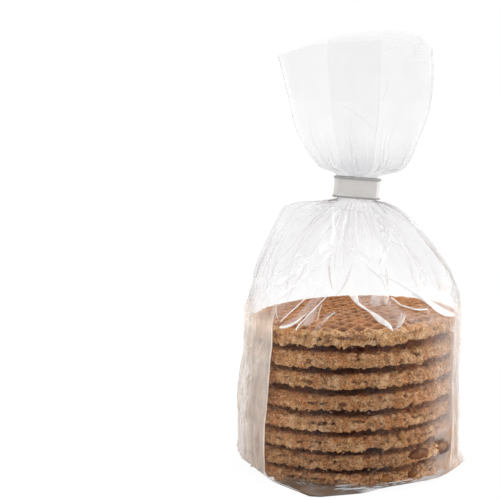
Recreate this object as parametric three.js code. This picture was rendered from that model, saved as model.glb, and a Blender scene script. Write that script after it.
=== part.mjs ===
// A gift pack of eight stroopwafels: round syrup waffles stacked in a clear film bag that
// stands on its block bottom. The film is gathered above the stack, closed by a bendable
// clip band, and fans out above the band into a flat, pleated pouch.
//
// Millimetres, +Z up, front towards -Y. The origin is on the table, on the stack's axis.
// The filled bag is one closed solid: its outside is the film's outside, and what it
// encloses stands for the waffles. The clip band is a second solid.
import * as THREE from "three";

const DEGREE = Math.PI / 180;

// Driving dimensions
const WAFFLE_COUNT = 8;
const WAFFLE_PITCH = 9.3; // height that one waffle adds to the stack
const STACK_TOP = WAFFLE_COUNT * WAFFLE_PITCH;
const BASE_RADIUS = 51; // film round the lowest waffle
const BAND_WIDTH = 23; // across the front of the clip band, over its beads
const BAND_HEIGHT = 10.1;
const BAND_DEPTH = 6.8; // front to back, over its beads
const BAND_WALL = 0.8;
const WIRE_RADIUS = 0.65; // of the bead along each edge of the band
const BAND_TILT = 4.2 * DEGREE; // its left end sits higher
const TIP_GAP = 1.2; // between the band's two ends, behind the neck
const NECK_X = 3.3; // centre of the gathered neck, to the right of the stack's axis
const NECK_Z = 132.9; // middle of the clip band
const NECK_GAP = 0.4; // left free between the neck and the band

// Corners of the block bottom, as polar angle and reach from the stack's axis. The film is
// stretched from each one round the lowest waffle and climbs to the stack within `climb`.
const BOTTOM_CORNERS = [
  { angle: 251 * DEGREE, reach: 61, climb: 3.2 },
  { angle: 357 * DEGREE, reach: 58.2, climb: 7 },
  { angle: 168 * DEGREE, reach: 55.2, climb: 7 },
  { angle: 71 * DEGREE, reach: 60, climb: 4 },
];
const FLAP_HEIGHT = 0.9; // folded film of the bottom, lying on the table

// Where the film meets the stack it dips a little into the joint between two waffles.
const JOINT_DIP = 0.9;
const JOINT_HALF_WIDTH = 1.7;

// Outline of the closed bag below the band, as [height, distance from the stack's axis]
const LEFT_SIDE = smoothLine([
  [0, 51], [4, 52.4], [22, 52.7], [36, 51.7], [54, 49.6], [STACK_TOP, 49.4], [81, 47.3],
  [94.4, 44.8], [101.6, 42], [110.3, 37.9], [117, 34.8], [121.5, 32.7], [124.4, 30.4], [126.2, 24],
]);
const RIGHT_SIDE = smoothLine([
  [0, 51], [4, 52.6], [20, 53.1], [36, 52.4], [STACK_TOP, 52.7], [85.6, 51.4], [93.4, 48.6],
  [103.1, 41.5], [110, 35.6], [117.5, 29.3], [122, 24.8], [124.7, 21.1], [126.2, 17],
]);
const FRONT_SIDE = smoothLine([
  [0, 51], [4, 51.4], [40, 51.3], [STACK_TOP, 51], [79.5, 47.2], [94, 36], [104, 26.8],
  [112, 19.2], [119, 12.2], [123.4, 7.6], [126.2, 4.8],
]);
const BACK_SIDE = smoothLine([
  [0, 51], [4, 51.4], [40, 51.5], [STACK_TOP, 51.4], [79.5, 48.6], [94, 39.4], [104, 30],
  [112, 22], [119, 14], [123.4, 8.4], [126.2, 5],
]);

// The pouch above the band, by share of its height: half width to the left and to the
// right of the neck, and half depth. Its mouth's height goes by the place across it.
const POUCH_LEFT = smoothLine([
  [0, 9.8], [0.02, 11], [0.05, 17.1], [0.134, 20.9], [0.274, 25.7], [0.44, 30], [0.63, 32.4],
  [1, 37.7],
]);
const POUCH_RIGHT = smoothLine([
  [0, 9.8], [0.02, 11.4], [0.053, 19.9], [0.123, 25], [0.313, 29.5], [0.494, 33.6],
  [0.705, 35.2], [0.85, 35.5], [1, 34],
]);
const POUCH_DEPTH = smoothLine([[0, 1.7], [0.05, 3], [0.12, 4.8], [0.3, 6.8], [0.6, 7.8], [1, 7]]);
const MOUTH_TOP = smoothLine([
  [-1, 194.9], [-0.69, 199.3], [-0.4, 203], [-0.16, 205.3], [0.21, 206.8], [0.61, 207.4],
  [0.83, 206.7], [1, 198],
]);
const MOUTH_FRONT_DROP = 4.6; // the front layer ends lower than the back one

// Pleats run from the neck down the shoulders and up the pouch.
const SHOULDER_PLEATS = { count: 13, depth: 2.2, start: 80, full: 98 };
const POUCH_PLEATS = { count: 10, depth: 1.1 };

const AROUND = 78; // points round each section of the bag
const BAND_INNER_HALF_WIDTH = BAND_WIDTH / 2 - WIRE_RADIUS * 2;
const BAND_INNER_HALF_DEPTH = BAND_DEPTH / 2 - WIRE_RADIUS * 2;
const NECK_HALF_WIDTH = BAND_INNER_HALF_WIDTH - NECK_GAP;
const NECK_HALF_DEPTH = BAND_INNER_HALF_DEPTH - NECK_GAP;
const NECK_BOTTOM = NECK_Z - BAND_HEIGHT / 2 - NECK_GAP;
const NECK_TOP = NECK_Z + BAND_HEIGHT / 2 + NECK_GAP;

// A function of x that runs smoothly through the points and never past them.
function smoothLine(points) {
  const slopes = points.slice(1).map(([x, y], i) => (y - points[i][1]) / (x - points[i][0]));
  const tangents = points.map((_, i) => {
    const before = slopes[i - 1] ?? slopes[i];
    const after = slopes[i] ?? before;
    return before * after <= 0 ? 0 : (2 * before * after) / (before + after);
  });
  return (x) => {
    const beyond = points.findIndex(([start]) => start > x);
    const i = beyond < 0 ? points.length - 2 : Math.max(0, beyond - 1);
    const [x0, y0] = points[i];
    const [x1, y1] = points[i + 1];
    const span = x1 - x0;
    const t = THREE.MathUtils.clamp((x - x0) / span, 0, 1);
    const bend = tangents[i] * (1 - t) - tangents[i + 1] * t;
    return y0 * (1 + 2 * t) * (1 - t) ** 2 + y1 * t * t * (3 - 2 * t) + span * t * (1 - t) * bend;
  };
}

// Uneven pleats round the axis: -1 in the folds, 1 on the ridges, no two alike.
function pleat(angle, count) {
  const wander = 0.9 * Math.sin(angle * 2 + 0.6) + 0.6 * Math.sin(angle * 5 - 1.1);
  const share = 0.75 + 0.25 * Math.sin(angle * 3 + 2.2);
  return share * Math.cos(count * angle + wander);
}

// How far a section reaches past a round one where the film is stretched to the corners.
function cornerStretch(angle, z) {
  const height = Math.max(0, z - FLAP_HEIGHT);
  return BOTTOM_CORNERS.reduce((most, corner) => {
    const reach = 1 + (corner.reach / BASE_RADIUS - 1) * Math.exp(-height / corner.climb);
    const turn = angle - corner.angle;
    const away = Math.abs(Math.atan2(Math.sin(turn), Math.cos(turn)));
    const tangent = Math.acos(1 / reach);
    return Math.max(most, 1 / Math.cos(Math.max(0, tangent - away)));
  }, 1);
}

// How far the film dips into the joints between the waffles at height z.
function jointDip(z) {
  const joint = Math.round(z / WAFFLE_PITCH);
  if (joint < 1 || joint >= WAFFLE_COUNT) return 0;
  return JOINT_DIP * Math.max(0, 1 - Math.abs(z - joint * WAFFLE_PITCH) / JOINT_HALF_WIDTH);
}

function ringOf(pointAt) {
  return Array.from({ length: AROUND }, (_, i) => pointAt((i / AROUND) * 2 * Math.PI));
}

// One section of the bag below the band. Its centre moves over from the stack to the neck.
function bodyRing(z) {
  const { count, depth, start, full } = SHOULDER_PLEATS;
  const centre = NECK_X * THREE.MathUtils.smoothstep(z, STACK_TOP, NECK_BOTTOM);
  const fade = 1 - 0.8 * THREE.MathUtils.smoothstep(z, full, NECK_BOTTOM);
  const folds = depth * THREE.MathUtils.smoothstep(z, start, full) * fade;
  return ringOf((angle) => {
    const [c, s] = [Math.cos(angle), Math.sin(angle)];
    const side = c < 0 ? LEFT_SIDE(z) + centre : RIGHT_SIDE(z) - centre;
    const face = s < 0 ? FRONT_SIDE(z) : BACK_SIDE(z);
    const stretch = cornerStretch(angle, z);
    const shift = folds * pleat(angle, count) - jointDip(z);
    return new THREE.Vector3(centre + (side * stretch + shift) * c, (face * stretch + shift) * s, z);
  });
}

// A flattened section of the neck, tilted with the band.
function neckRing(z) {
  return ringOf((angle) => {
    const x = NECK_HALF_WIDTH * Math.cos(angle);
    return new THREE.Vector3(NECK_X + x, NECK_HALF_DEPTH * Math.sin(angle), z - x * Math.tan(BAND_TILT));
  });
}

// One section of the pouch, at a share of its height.
function pouchRing(share) {
  const folds = POUCH_PLEATS.depth * THREE.MathUtils.smoothstep(share, 0, 0.15) * (1 - 0.45 * share);
  const untilted = THREE.MathUtils.smoothstep(share, 0, 0.2);
  return ringOf((angle) => {
    const [c, s] = [Math.cos(angle), Math.sin(angle)];
    const x = (c < 0 ? POUCH_LEFT(share) : POUCH_RIGHT(share)) * c;
    const y = (POUCH_DEPTH(share) + folds * pleat(angle, POUCH_PLEATS.count)) * s;
    const top = MOUTH_TOP(c) - MOUTH_FRONT_DROP * Math.max(0, -s);
    const start = NECK_TOP - x * Math.tan(BAND_TILT) * (1 - untilted);
    return new THREE.Vector3(NECK_X + x, y, start + (top - NECK_TOP) * share);
  });
}

// A closed skin over the rings, in order, with a fan of triangles over each end.
function closedLoft(rings) {
  const positions = rings.flat().flatMap((point) => point.toArray());
  const index = [];
  const addEndFan = (ring, facesUp) => {
    const middle = new THREE.Vector3();
    rings[ring].forEach((point) => middle.addScaledVector(point, 1 / AROUND));
    const hub = positions.push(...middle.toArray()) / 3 - 1;
    for (let i = 0; i < AROUND; i++) {
      const edge = [ring * AROUND + i, ring * AROUND + ((i + 1) % AROUND)];
      index.push(hub, ...(facesUp ? edge : edge.reverse()));
    }
  };
  for (let ring = 0; ring + 1 < rings.length; ring++) {
    for (let i = 0; i < AROUND; i++) {
      const here = ring * AROUND + i;
      const next = ring * AROUND + ((i + 1) % AROUND);
      index.push(here, next, next + AROUND, here, next + AROUND, here + AROUND);
    }
  }
  addEndFan(0, false);
  addEndFan(rings.length - 1, true);
  return new THREE.BufferGeometry()
    .setAttribute("position", new THREE.Float32BufferAttribute(positions, 3))
    .setIndex(index);
}

function bagGeometry() {
  const joints = Array.from({ length: WAFFLE_COUNT - 1 }, (_, i) => (i + 1) * WAFFLE_PITCH);
  const bodyHeights = [
    ...[0, FLAP_HEIGHT, 2, 4],
    ...joints.flatMap((z) => [z - JOINT_HALF_WIDTH, z, z + JOINT_HALF_WIDTH]),
    ...[STACK_TOP - 3, STACK_TOP, 77.5, 82, 88, 94, 100, 106, 112, 117, 121, 124, 126.2],
  ];
  const pouchShares = [0.02, 0.05, 0.09, 0.14, 0.2, 0.28, 0.38, 0.5, 0.62, 0.74, 0.87, 1];
  return closedLoft([
    ...bodyHeights.map(bodyRing),
    ...[NECK_BOTTOM, NECK_TOP].map(neckRing),
    ...pouchShares.map(pouchRing),
  ]);
}

// The band's wall, cut across: a flat strip with the bead of a wire along each edge.
function bandSection() {
  const wire = BAND_HEIGHT / 2 - WIRE_RADIUS;
  const shoulder = Math.acos((BAND_WALL - WIRE_RADIUS) / WIRE_RADIUS);
  const section = new THREE.Shape();
  section.moveTo(-wire, 0);
  section.lineTo(wire, 0);
  section.absarc(wire, WIRE_RADIUS, WIRE_RADIUS, -Math.PI / 2, Math.PI / 2 + shoulder, false);
  section.absarc(-wire, WIRE_RADIUS, WIRE_RADIUS, Math.PI / 2 - shoulder, Math.PI * 1.5, false);
  return section;
}

// The band's inner face, seen from above: from one end behind the neck, round the right
// side, across the front, round the left side and back to the other end.
function bandPath(steps) {
  const radius = BAND_INNER_HALF_DEPTH;
  const flat = BAND_INNER_HALF_WIDTH - radius;
  const outline = new THREE.Path();
  outline.moveTo(TIP_GAP / 2, radius);
  outline.lineTo(flat, radius);
  outline.absarc(flat, 0, radius, Math.PI / 2, -Math.PI / 2, true);
  outline.lineTo(-flat, -radius);
  outline.absarc(-flat, 0, radius, -Math.PI / 2, -Math.PI * 1.5, true);
  outline.lineTo(-TIP_GAP / 2, radius);
  return new THREE.CatmullRomCurve3(
    outline.getSpacedPoints(steps).map((point) => new THREE.Vector3(point.x, point.y, 0)),
  );
}

function bandGeometry() {
  const steps = 40;
  return new THREE.ExtrudeGeometry(bandSection(), {
    extrudePath: bandPath(steps),
    steps,
    curveSegments: 5,
  });
}

const filmMaterial = new THREE.MeshStandardMaterial({ color: 0xb58a5e, roughness: 0.35, metalness: 0 });
const bandMaterial = new THREE.MeshStandardMaterial({ color: 0xc8c6c3, roughness: 0.5, metalness: 0 });

const bag = new THREE.Mesh(bagGeometry(), filmMaterial);
bag.name = "bag";

const clip = new THREE.Mesh(bandGeometry(), bandMaterial);
clip.name = "clip";
clip.position.set(NECK_X, 0, NECK_Z);
clip.rotation.y = BAND_TILT;

const pack = new THREE.Group();
pack.add(bag, clip);
export default pack;
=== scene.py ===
"""Looks of the stroopwafel gift pack: eight syrup waffles in a clear film bag.

Shapes are worked out in millimetres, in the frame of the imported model, and turned into
metres when a mesh is made. The film follows the outside of the CAD node "bag". Angles run
round the upright axis from the right-hand side by way of the back, so 270 is the front.
"""

import math

import bpy
import numpy as np
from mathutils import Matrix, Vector
from mathutils.bvhtree import BVHTree


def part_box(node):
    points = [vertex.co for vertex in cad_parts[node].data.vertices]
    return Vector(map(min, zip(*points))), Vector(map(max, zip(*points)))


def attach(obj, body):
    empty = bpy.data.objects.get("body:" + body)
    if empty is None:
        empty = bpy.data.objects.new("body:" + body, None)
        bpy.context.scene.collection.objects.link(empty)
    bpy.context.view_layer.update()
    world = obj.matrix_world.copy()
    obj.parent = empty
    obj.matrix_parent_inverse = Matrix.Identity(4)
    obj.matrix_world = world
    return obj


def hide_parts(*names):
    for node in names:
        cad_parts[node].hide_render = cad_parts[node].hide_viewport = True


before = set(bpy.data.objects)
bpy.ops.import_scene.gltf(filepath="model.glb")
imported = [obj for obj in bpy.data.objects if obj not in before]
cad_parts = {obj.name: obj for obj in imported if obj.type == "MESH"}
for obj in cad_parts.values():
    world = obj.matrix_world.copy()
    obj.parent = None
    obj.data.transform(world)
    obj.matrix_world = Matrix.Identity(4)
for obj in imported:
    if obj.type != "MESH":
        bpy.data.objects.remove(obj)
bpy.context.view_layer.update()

MM = 0.001
TAU = 2 * math.pi

# Camera, found by fitting the arcs of the stacked rims (each 100 mm across).
CAMERA_PLACE = (-47.5, -569.4, 176.3)
CAMERA_PITCH = 7.33  # degrees below the horizon
CAMERA_LENS = 86.4  # mm, on a sensor 36 mm wide

FLOOR_HALF = 40.0  # metres from the middle of the pale floor to its edge
# The studio's soft boxes: name, place and size in metres, and how bright the face is
SOFT_BOXES = [
    ("key", (-1.0, -0.5, 0.8), (0.6, 0.7), 5.8),
    ("fill", (1.2, -0.15, 0.55), (0.9, 1.0), 5.6),
    ("top", (0.1, 0.1, 1.3), (0.9, 0.7), 3.6),
]

# The waffles from the top one down. lift is the height of the lower edge, lean how far the
# right side is raised in degrees, and shift how far the centre is to the right. turn is the
# angle of the baked squares, tone how much darker its crumb is coloured than the top one's,
# and seams the stretches where the two halves gape, in degrees.
WAFFLE_FACTS = ("radius", "lift", "thick", "lean", "shift", "turn", "tone", "seams")
WAFFLES = [dict(zip(WAFFLE_FACTS, facts)) for facts in (
    (49.0, 66.2, 9.2, 2.5, 1.4, 45, 0.0, [(240, 279)]),
    (49.3, 56.3, 9.2, 1.7, 0.6, 71, 0.2, [(263, 270), (300, 309)]),
    (49.4, 47.0, 8.7, 2.0, 0.9, 8, 0.35, [(228, 236), (266, 279)]),
    (49.9, 37.3, 9.0, 2.6, 0.8, 52, 0.45, [(221, 229), (236, 255), (281, 300)]),
    (49.8, 27.9, 8.8, 2.2, 0.4, 33, 0.45, [(244, 260), (300, 322)]),
    (50.3, 19.0, 8.4, 2.4, 0.2, 80, 0.45, [(224, 232), (237, 256), (308, 316)]),
    (50.3, 10.4, 8.2, 2.1, 0.0, 15, 0.65, [(226, 236), (240, 266)]),
    (50.6, 2.1, 7.9, 1.7, 0.3, 61, 0.55, [(228, 262), (310, 322)]),
)]

# Half of a waffle's section, as (distance in from the rim, height above the lower edge).
UNDERSIDE = [
    (50.0, 1.2), (30.0, 1.2), (10.0, 1.2), (5.5, 1.1), (3.4, 0.8), (1.9, 0.35), (1.1, 0.1),
]
RIM_AND_TOP = [
    (0.5, 0.1), (0.12, 0.7), (0.0, 1.7), (0.05, 2.7), (0.2, 3.3), (0.45, 3.75), (0.3, 4.2),
    (0.25, 4.8), (0.6, 5.4), (1.25, 5.9), (2.2, 6.3), (3.6, 6.75), (5.5, 7.25), (8.0, 7.8),
    (12.0, 8.4), (18.0, 8.85), (50.0, 9.1),
]
SECTION_HEIGHT = RIM_AND_TOP[-1][1]
SHOULDER_HEIGHT = 6.7  # the rims of the lower waffles are pressed down to about this
SEAM_HEIGHT = 3.75  # of the joint between the two halves
GRID_PITCH = 5.6  # of the baked squares on the waffles
RIM_COLUMNS = 720  # points round a waffle
WORN_EDGE = 3.8  # how far the lowest waffle's lower edge is worn away at the left
LEAST_HEIGHT = 0.3  # of the contents above the table, so that they stay inside the film

# Syrup that has come out at the rims: waffle from the top, angle, height share, width,
# height, and how much paler it is than the rest
SYRUP_SPOTS = [
    (1, 243.4, 0.30, 2.7, 1.9, 0),
    (2, 244.0, 0.30, 2.9, 2.0, 0),
    (3, 261.9, 0.33, 5.0, 1.9, 0),
    (5, 293.8, 0.64, 4.6, 3.6, 0.6),
    (5, 294.6, 0.27, 4.2, 3.4, 0.6),
    (6, 305.5, 0.42, 12.5, 5.4, 0),
    (6, 325.5, 0.36, 12.0, 5.4, 0.3),
    (7, 285.0, 0.42, 6.4, 3.6, 0.3),
    (7, 300.8, 0.46, 7.0, 4.0, 0),
]
SPOTS_BEHIND = 26  # drops on the sides and the back, placed at random
CRUMBS, SUGAR_AND_GLINT_GRAINS = 420, 330

CLIP_LOW, CLIP_HIGH = (np.array(corner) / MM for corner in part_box("clip"))
NECK = (CLIP_LOW + CLIP_HIGH) / 2  # middle of the band
NECK_HALF = np.array([9.4, 1.6])  # half width and half depth of the film inside the band
BAND_HEIGHT = 10.1
BAND_TILT = math.radians(4.2)  # its right end is the lower one
BAND_LEVEL = 133.1  # height of the band's middle line straight above the origin
STACK_TOP = 74.4
JOINT_SPAN = 5.2  # how far up and down the taut film keeps to its widest place
PINCH_ANGLE, PINCH_REACH = 355, 52.9  # of the film drawn in above the foot's right corner
CORNER_FLARE = 4.8  # how much further out that corner reaches
INSIDE = np.array([2.0, 0.0, 62.0])  # a point inside the bag that sees all of its shoulders

FILM_COLUMNS = 440  # points round the film bag
SHOULDER_STEPS = 96  # rows of film from the stack's rim to the neck
FILM_ROUND = np.arange(FILM_COLUMNS) / FILM_COLUMNS
FILM_DEGREES = FILM_ROUND * 360

# Where the bottom edge of the bag is rounded and lifts off the table: angle, height
TUCK = [(0, 1.2), (150, 1.2), (176, 4.6), (206, 4.5), (214, 2.8), (224, 0.2), (272, 0.2),
        (281, 2.2), (290, 3.2), (303, 3.3), (312, 2.3), (322, 1.2), (336, 0.5), (360, 1.2)]


# ---------------------------------------------------------------- numbers


def lattice(cell, seed):
    """A fixed number from -1 to 1 for each whole-number cell, different for each seed."""
    x, y, z = (cell[..., i].astype(np.int64) for i in range(3))
    mixed = (x * 73856093) ^ (y * 19349663) ^ (z * 83492791) ^ (seed * 1640531513)
    mixed = ((mixed ^ (mixed >> 13)) * 1274126177) & 0xFFFFFFFF
    mixed = ((mixed ^ (mixed >> 15)) * 2246822519) & 0xFFFFFFFF
    return ((mixed ^ (mixed >> 16)) & 0xFFFFFF) / 0x7FFFFF - 1.0


def noise(points, size, seed):
    """Smooth noise from -1 to 1 with lumps of the given size."""
    scaled = np.asarray(points, float) / size
    cell = np.floor(scaled)
    part = scaled - cell
    blend = part * part * (3 - 2 * part)
    total = 0.0
    for corner in np.ndindex(2, 2, 2):
        corner = np.array(corner)
        weight = np.prod(np.where(corner, blend, 1 - blend), axis=-1)
        total = total + weight * lattice(cell + corner, seed)
    return total


def grains(points, size, seed):
    """Distance to the nearest of many scattered grains: 0 on a grain, about 1 between."""
    scaled = np.asarray(points, float) / size
    cell = np.floor(scaled)
    nearest = np.full(scaled.shape[:-1], 9.0)
    for near in np.ndindex(3, 3, 3):
        other = cell + np.array(near) - 1
        offsets = [lattice(other, seed + axis) for axis in range(3)]
        grain = other + 0.5 + 0.42 * np.stack(offsets, axis=-1)
        nearest = np.minimum(nearest, np.linalg.norm(scaled - grain, axis=-1))
    return nearest


def facets(across, along, count, seed):
    """Flat facets with sharp creases between them, from -1 to 1, like crumpled film.

    across runs from 0 to 1 round the sheet and is cut in count cells; along is in cells.
    """
    a, b = np.broadcast_arrays(across * count, along)
    i, j = np.floor(a), np.floor(b)
    fa, fb = a - i, b - j

    def corner(di, dj):
        cell = np.stack([(i + di) % count, j + dj, 0 * i], axis=-1)
        return lattice(cell, seed)

    c00, c10, c01, c11 = corner(0, 0), corner(1, 0), corner(0, 1), corner(1, 1)
    flip = lattice(np.stack([i % count, j, 0 * i + 5], axis=-1), seed + 9) > 0
    lower = c00 + fa * (c10 - c00) + fb * (c11 - c10)
    upper = c00 + fb * (c01 - c00) + fa * (c11 - c01)
    straight = np.where(fa >= fb, lower, upper)
    near = c00 + fa * (c10 - c00) + fb * (c01 - c00)
    far = c11 + (1 - fa) * (c01 - c11) + (1 - fb) * (c10 - c11)
    return np.where(flip, np.where(fa + fb <= 1, near, far), straight)


def fade(value, low, high):
    """0 at low, 1 at high, smooth between them. low may be the greater of the two."""
    share = np.clip((value - low) / (high - low), 0, 1)
    return share * share * (3 - 2 * share)


def between(value, low, first, last, high):
    """1 from first to last, and fading to 0 at low and at high."""
    return fade(value, low, first) * fade(value, high, last)


def sideways(angle):
    """The level unit vector at an angle in radians."""
    return np.array([math.cos(angle), math.sin(angle), 0.0])


def lengths_along(corners):
    """How far each corner of a line is from its first one, along the line."""
    return np.concatenate([[0], np.cumsum(np.linalg.norm(np.diff(corners, axis=0), axis=1))])


def smoothed(values, reach=3):
    """Running mean of rows, with the ends repeated."""
    padded = np.pad(values, ((reach, reach), (0, 0)), "edge")
    return sum(padded[k:k + len(values)] for k in range(2 * reach + 1)) / (2 * reach + 1)


# ---------------------------------------------------------------- meshes


def add_object(name, data):
    """Links an object with the given data to the scene."""
    added = bpy.data.objects.new(name, data)
    bpy.context.scene.collection.objects.link(added)
    return added


def finish_piece(name, points, material, attributes, faces=None, closed=True, replaces=()):
    """Makes a smooth mesh in mm, and has it ride, replace and take its material.

    Without faces the points are a grid, and closed joins its last column to the first.
    """
    if faces is None:
        faces = grid_faces(*points.shape[:2], closed)
    mesh = bpy.data.meshes.new(name)
    places = points.reshape(-1, 3) * MM
    mesh.vertices.add(len(places))
    mesh.vertices.foreach_set("co", places.ravel())
    mesh.loops.add(faces.size)
    mesh.loops.foreach_set("vertex_index", faces.ravel())
    mesh.polygons.add(len(faces))
    mesh.polygons.foreach_set("loop_start", np.arange(len(faces)) * faces.shape[1])
    mesh.update(calc_edges=True)
    mesh.validate()
    mesh.shade_smooth()
    for label, values in attributes.items():
        layer = mesh.attributes.new(label, "FLOAT", "POINT")
        layer.data.foreach_set("value", np.asarray(values, np.float32).ravel())
    mesh.materials.append(material)
    piece = add_object(name, mesh)
    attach(piece, "root")
    if replaces:
        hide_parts(*replaces)


def grid_faces(rows, columns, closed=True):
    """Four-sided faces of a grid of points, row after row. closed joins the last column."""
    across = columns if closed else columns - 1
    row, column = np.meshgrid(np.arange(rows - 1), np.arange(across), indexing="ij")
    beside = (column + 1) % columns
    corners = [row * columns + column, row * columns + beside]
    corners += [(row + 1) * columns + beside, (row + 1) * columns + column]
    return np.stack(corners, axis=-1).reshape(-1, 4)


class Gather:
    """Collects many small grids of points into one mesh."""

    def __init__(self):
        self.points, self.faces, self.values, self.count = [], [], [], 0

    def add(self, grid, closed=False, values=None):
        rows, columns = grid.shape[:2]
        self.points.append(grid.reshape(-1, 3))
        self.faces.append(grid_faces(rows, columns, closed) + self.count)
        self.values.append(np.zeros(rows * columns) if values is None else values.ravel())
        self.count += rows * columns

    def piece(self, name, material, slot, label="crease"):
        points, faces = np.concatenate(self.points), np.concatenate(self.faces)
        attributes = {label: np.concatenate(self.values)}
        finish_piece(name, points, material, attributes, faces)


# ---------------------------------------------------------------- materials


class Nodes:
    """Short calls that build a node tree."""

    def __init__(self, owner):
        self.owner = owner
        owner.use_nodes = True
        self.tree = owner.node_tree
        self.tree.nodes.clear()

    def add(self, kind, inputs=None, **settings):
        node = self.tree.nodes.new(kind)
        for key, value in settings.items():
            setattr(node, key, value)
        for key, value in (inputs or {}).items():
            if isinstance(value, bpy.types.NodeSocket):
                self.tree.links.new(value, node.inputs[key])
            else:
                node.inputs[key].default_value = value
        return node

    def math(self, operation, *values, clamp=False):
        inputs = dict(enumerate(values))
        return self.add("ShaderNodeMath", inputs, operation=operation, use_clamp=clamp).outputs[0]

    def attribute(self, name):
        return self.add("ShaderNodeAttribute", attribute_name=name).outputs["Fac"]

    def place(self):
        return self.add("ShaderNodeTexCoord").outputs["Object"]

    def noise(self, scale, detail=3.0, roughness=0.55, stretch=None):
        place = self.place()
        if stretch:
            place = self.add("ShaderNodeMapping", {"Vector": place, "Scale": stretch}).outputs[0]
        inputs = {"Vector": place, "Scale": scale, "Detail": detail, "Roughness": roughness}
        return self.add("ShaderNodeTexNoise", inputs).outputs["Fac"]

    def span(self, value, low, high, to_low=0.0, to_high=1.0):
        inputs = dict(enumerate((value, low, high, to_low, to_high)))
        return self.add("ShaderNodeMapRange", inputs, clamp=True).outputs[0]

    def mix_colour(self, factor, first, second, blend="MIX"):
        inputs = {0: factor, 6: first, 7: second}
        node = self.add("ShaderNodeMix", inputs, data_type="RGBA", blend_type=blend)
        return node.outputs[2]

    def layered(self, shade, layers):
        """Lays colours over a shade, each where its pattern goes from low to high."""
        for pattern, low, high, share, over in layers:
            shade = self.mix_colour(self.span(pattern, low, high, 0.0, share), shade, over)
        return shade

    def bump(self, height, strength, distance):
        inputs = {"Height": height, "Strength": strength, "Distance": distance}
        return self.add("ShaderNodeBump", inputs).outputs[0]

    def shader(self, kind, **inputs):
        return self.add("ShaderNodeBsdf" + kind, inputs).outputs[0]

    def mix_shader(self, factor, first, second):
        return self.add("ShaderNodeMixShader", {0: factor, 1: first, 2: second}).outputs[0]

    def output(self, shader, kind="ShaderNodeOutputMaterial"):
        self.add(kind, {"Surface": shader})
        return self.owner

    def plain(self, shade, roughness, specular, normal=None):
        """The material of an opaque surface."""
        inputs = {"Base Color": shade, "Roughness": roughness, "Specular IOR Level": specular}
        if normal:
            inputs["Normal"] = normal
        return self.output(self.shader("Principled", **inputs))


def colour(red, green, blue):
    """An opaque colour, in linear light."""
    return (red, green, blue, 1.0)


WHITE = colour(1, 1, 1)


def waffle_material():
    """Dry baked crumb: pale tan at the rim, orange-brown where the iron pressed it."""
    n = Nodes(bpy.data.materials.new("waffle"))
    mottle, broad, clump = n.noise(330, 3.0, 0.65), n.noise(90, 3.0), n.noise(240, 3.0, 0.6)
    sugar, specks = n.noise(1300, 2.0, 0.55), n.noise(1000, 3.0, 0.65)
    crumb = n.layered(colour(0.43, 0.185, 0.056), [
        (broad, 0.35, 0.68, 1.0, colour(0.61, 0.33, 0.135)),
        (mottle, 0.5, 0.64, 0.9, colour(0.30, 0.12, 0.035)),
        (clump, 0.52, 0.62, 0.75, colour(0.79, 0.51, 0.29)),
        (sugar, 0.5, 0.36, 0.7, colour(0.84, 0.57, 0.32)),
        (specks, 0.56, 0.64, 0.75, colour(0.18, 0.068, 0.02)),
    ])
    baked = n.layered(colour(0.52, 0.17, 0.042), [
        (broad, 0.35, 0.7, 1.0, colour(0.33, 0.105, 0.032)),
        (sugar, 0.52, 0.38, 0.8, colour(0.70, 0.31, 0.12)),
        (specks, 0.58, 0.68, 0.5, colour(0.13, 0.04, 0.014)),
    ])
    shade = n.mix_colour(n.attribute("browning"), crumb, baked)
    # Painted shade: crevices, the gaps between waffles and the undersides darken to this brown
    shade = n.mix_colour(n.attribute("crevice_shade"), shade, colour(0.11, 0.037, 0.013))
    # tone darkens the crumb's colour; it is lower at the front's right, which is painted light
    shade = n.mix_colour(n.attribute("tone"), shade, colour(0.62, 0.53, 0.48), "MULTIPLY")
    bump = n.bump(n.noise(1100, 3.0, 0.65), 0.85, 0.001)
    return n.plain(shade, 0.85, 0.2, bump)


def syrup_material():
    """Sticky amber syrup with the crumb showing through, brown along a drop's edge."""
    n = Nodes(bpy.data.materials.new("syrup"))
    dark, light = colour(0.10, 0.026, 0.002), colour(0.21, 0.068, 0.007)
    shade = n.mix_colour(n.span(n.noise(330, 3.0), 0.38, 0.62), dark, light)
    pale = n.span(n.attribute("crease"), -1.0, 0.0, 1.0, 0.0)
    shade = n.mix_colour(pale, shade, colour(0.42, 0.20, 0.055))
    shade = n.mix_colour(n.attribute("crease"), shade, colour(0.075, 0.022, 0.004))
    return n.plain(shade, 0.5, 0.25)


def sugar_and_glint_material():
    """Pale grains that glint where they press on the film: sugar, and in part a painted highlight.
    """
    n = Nodes(bpy.data.materials.new("sugar"))
    shade = n.mix_colour(n.noise(700), colour(0.95, 0.85, 0.72), colour(0.8, 0.62, 0.42))
    return n.plain(shade, 0.25, 0.6)


def milk_shader(n, normal, white):
    """The white of creased and doubled film, lit from both sides."""
    lit = n.shader("Diffuse", Color=white, Normal=normal)
    return n.mix_shader(0.25, lit, n.shader("Translucent", Color=white, Normal=normal))


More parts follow.
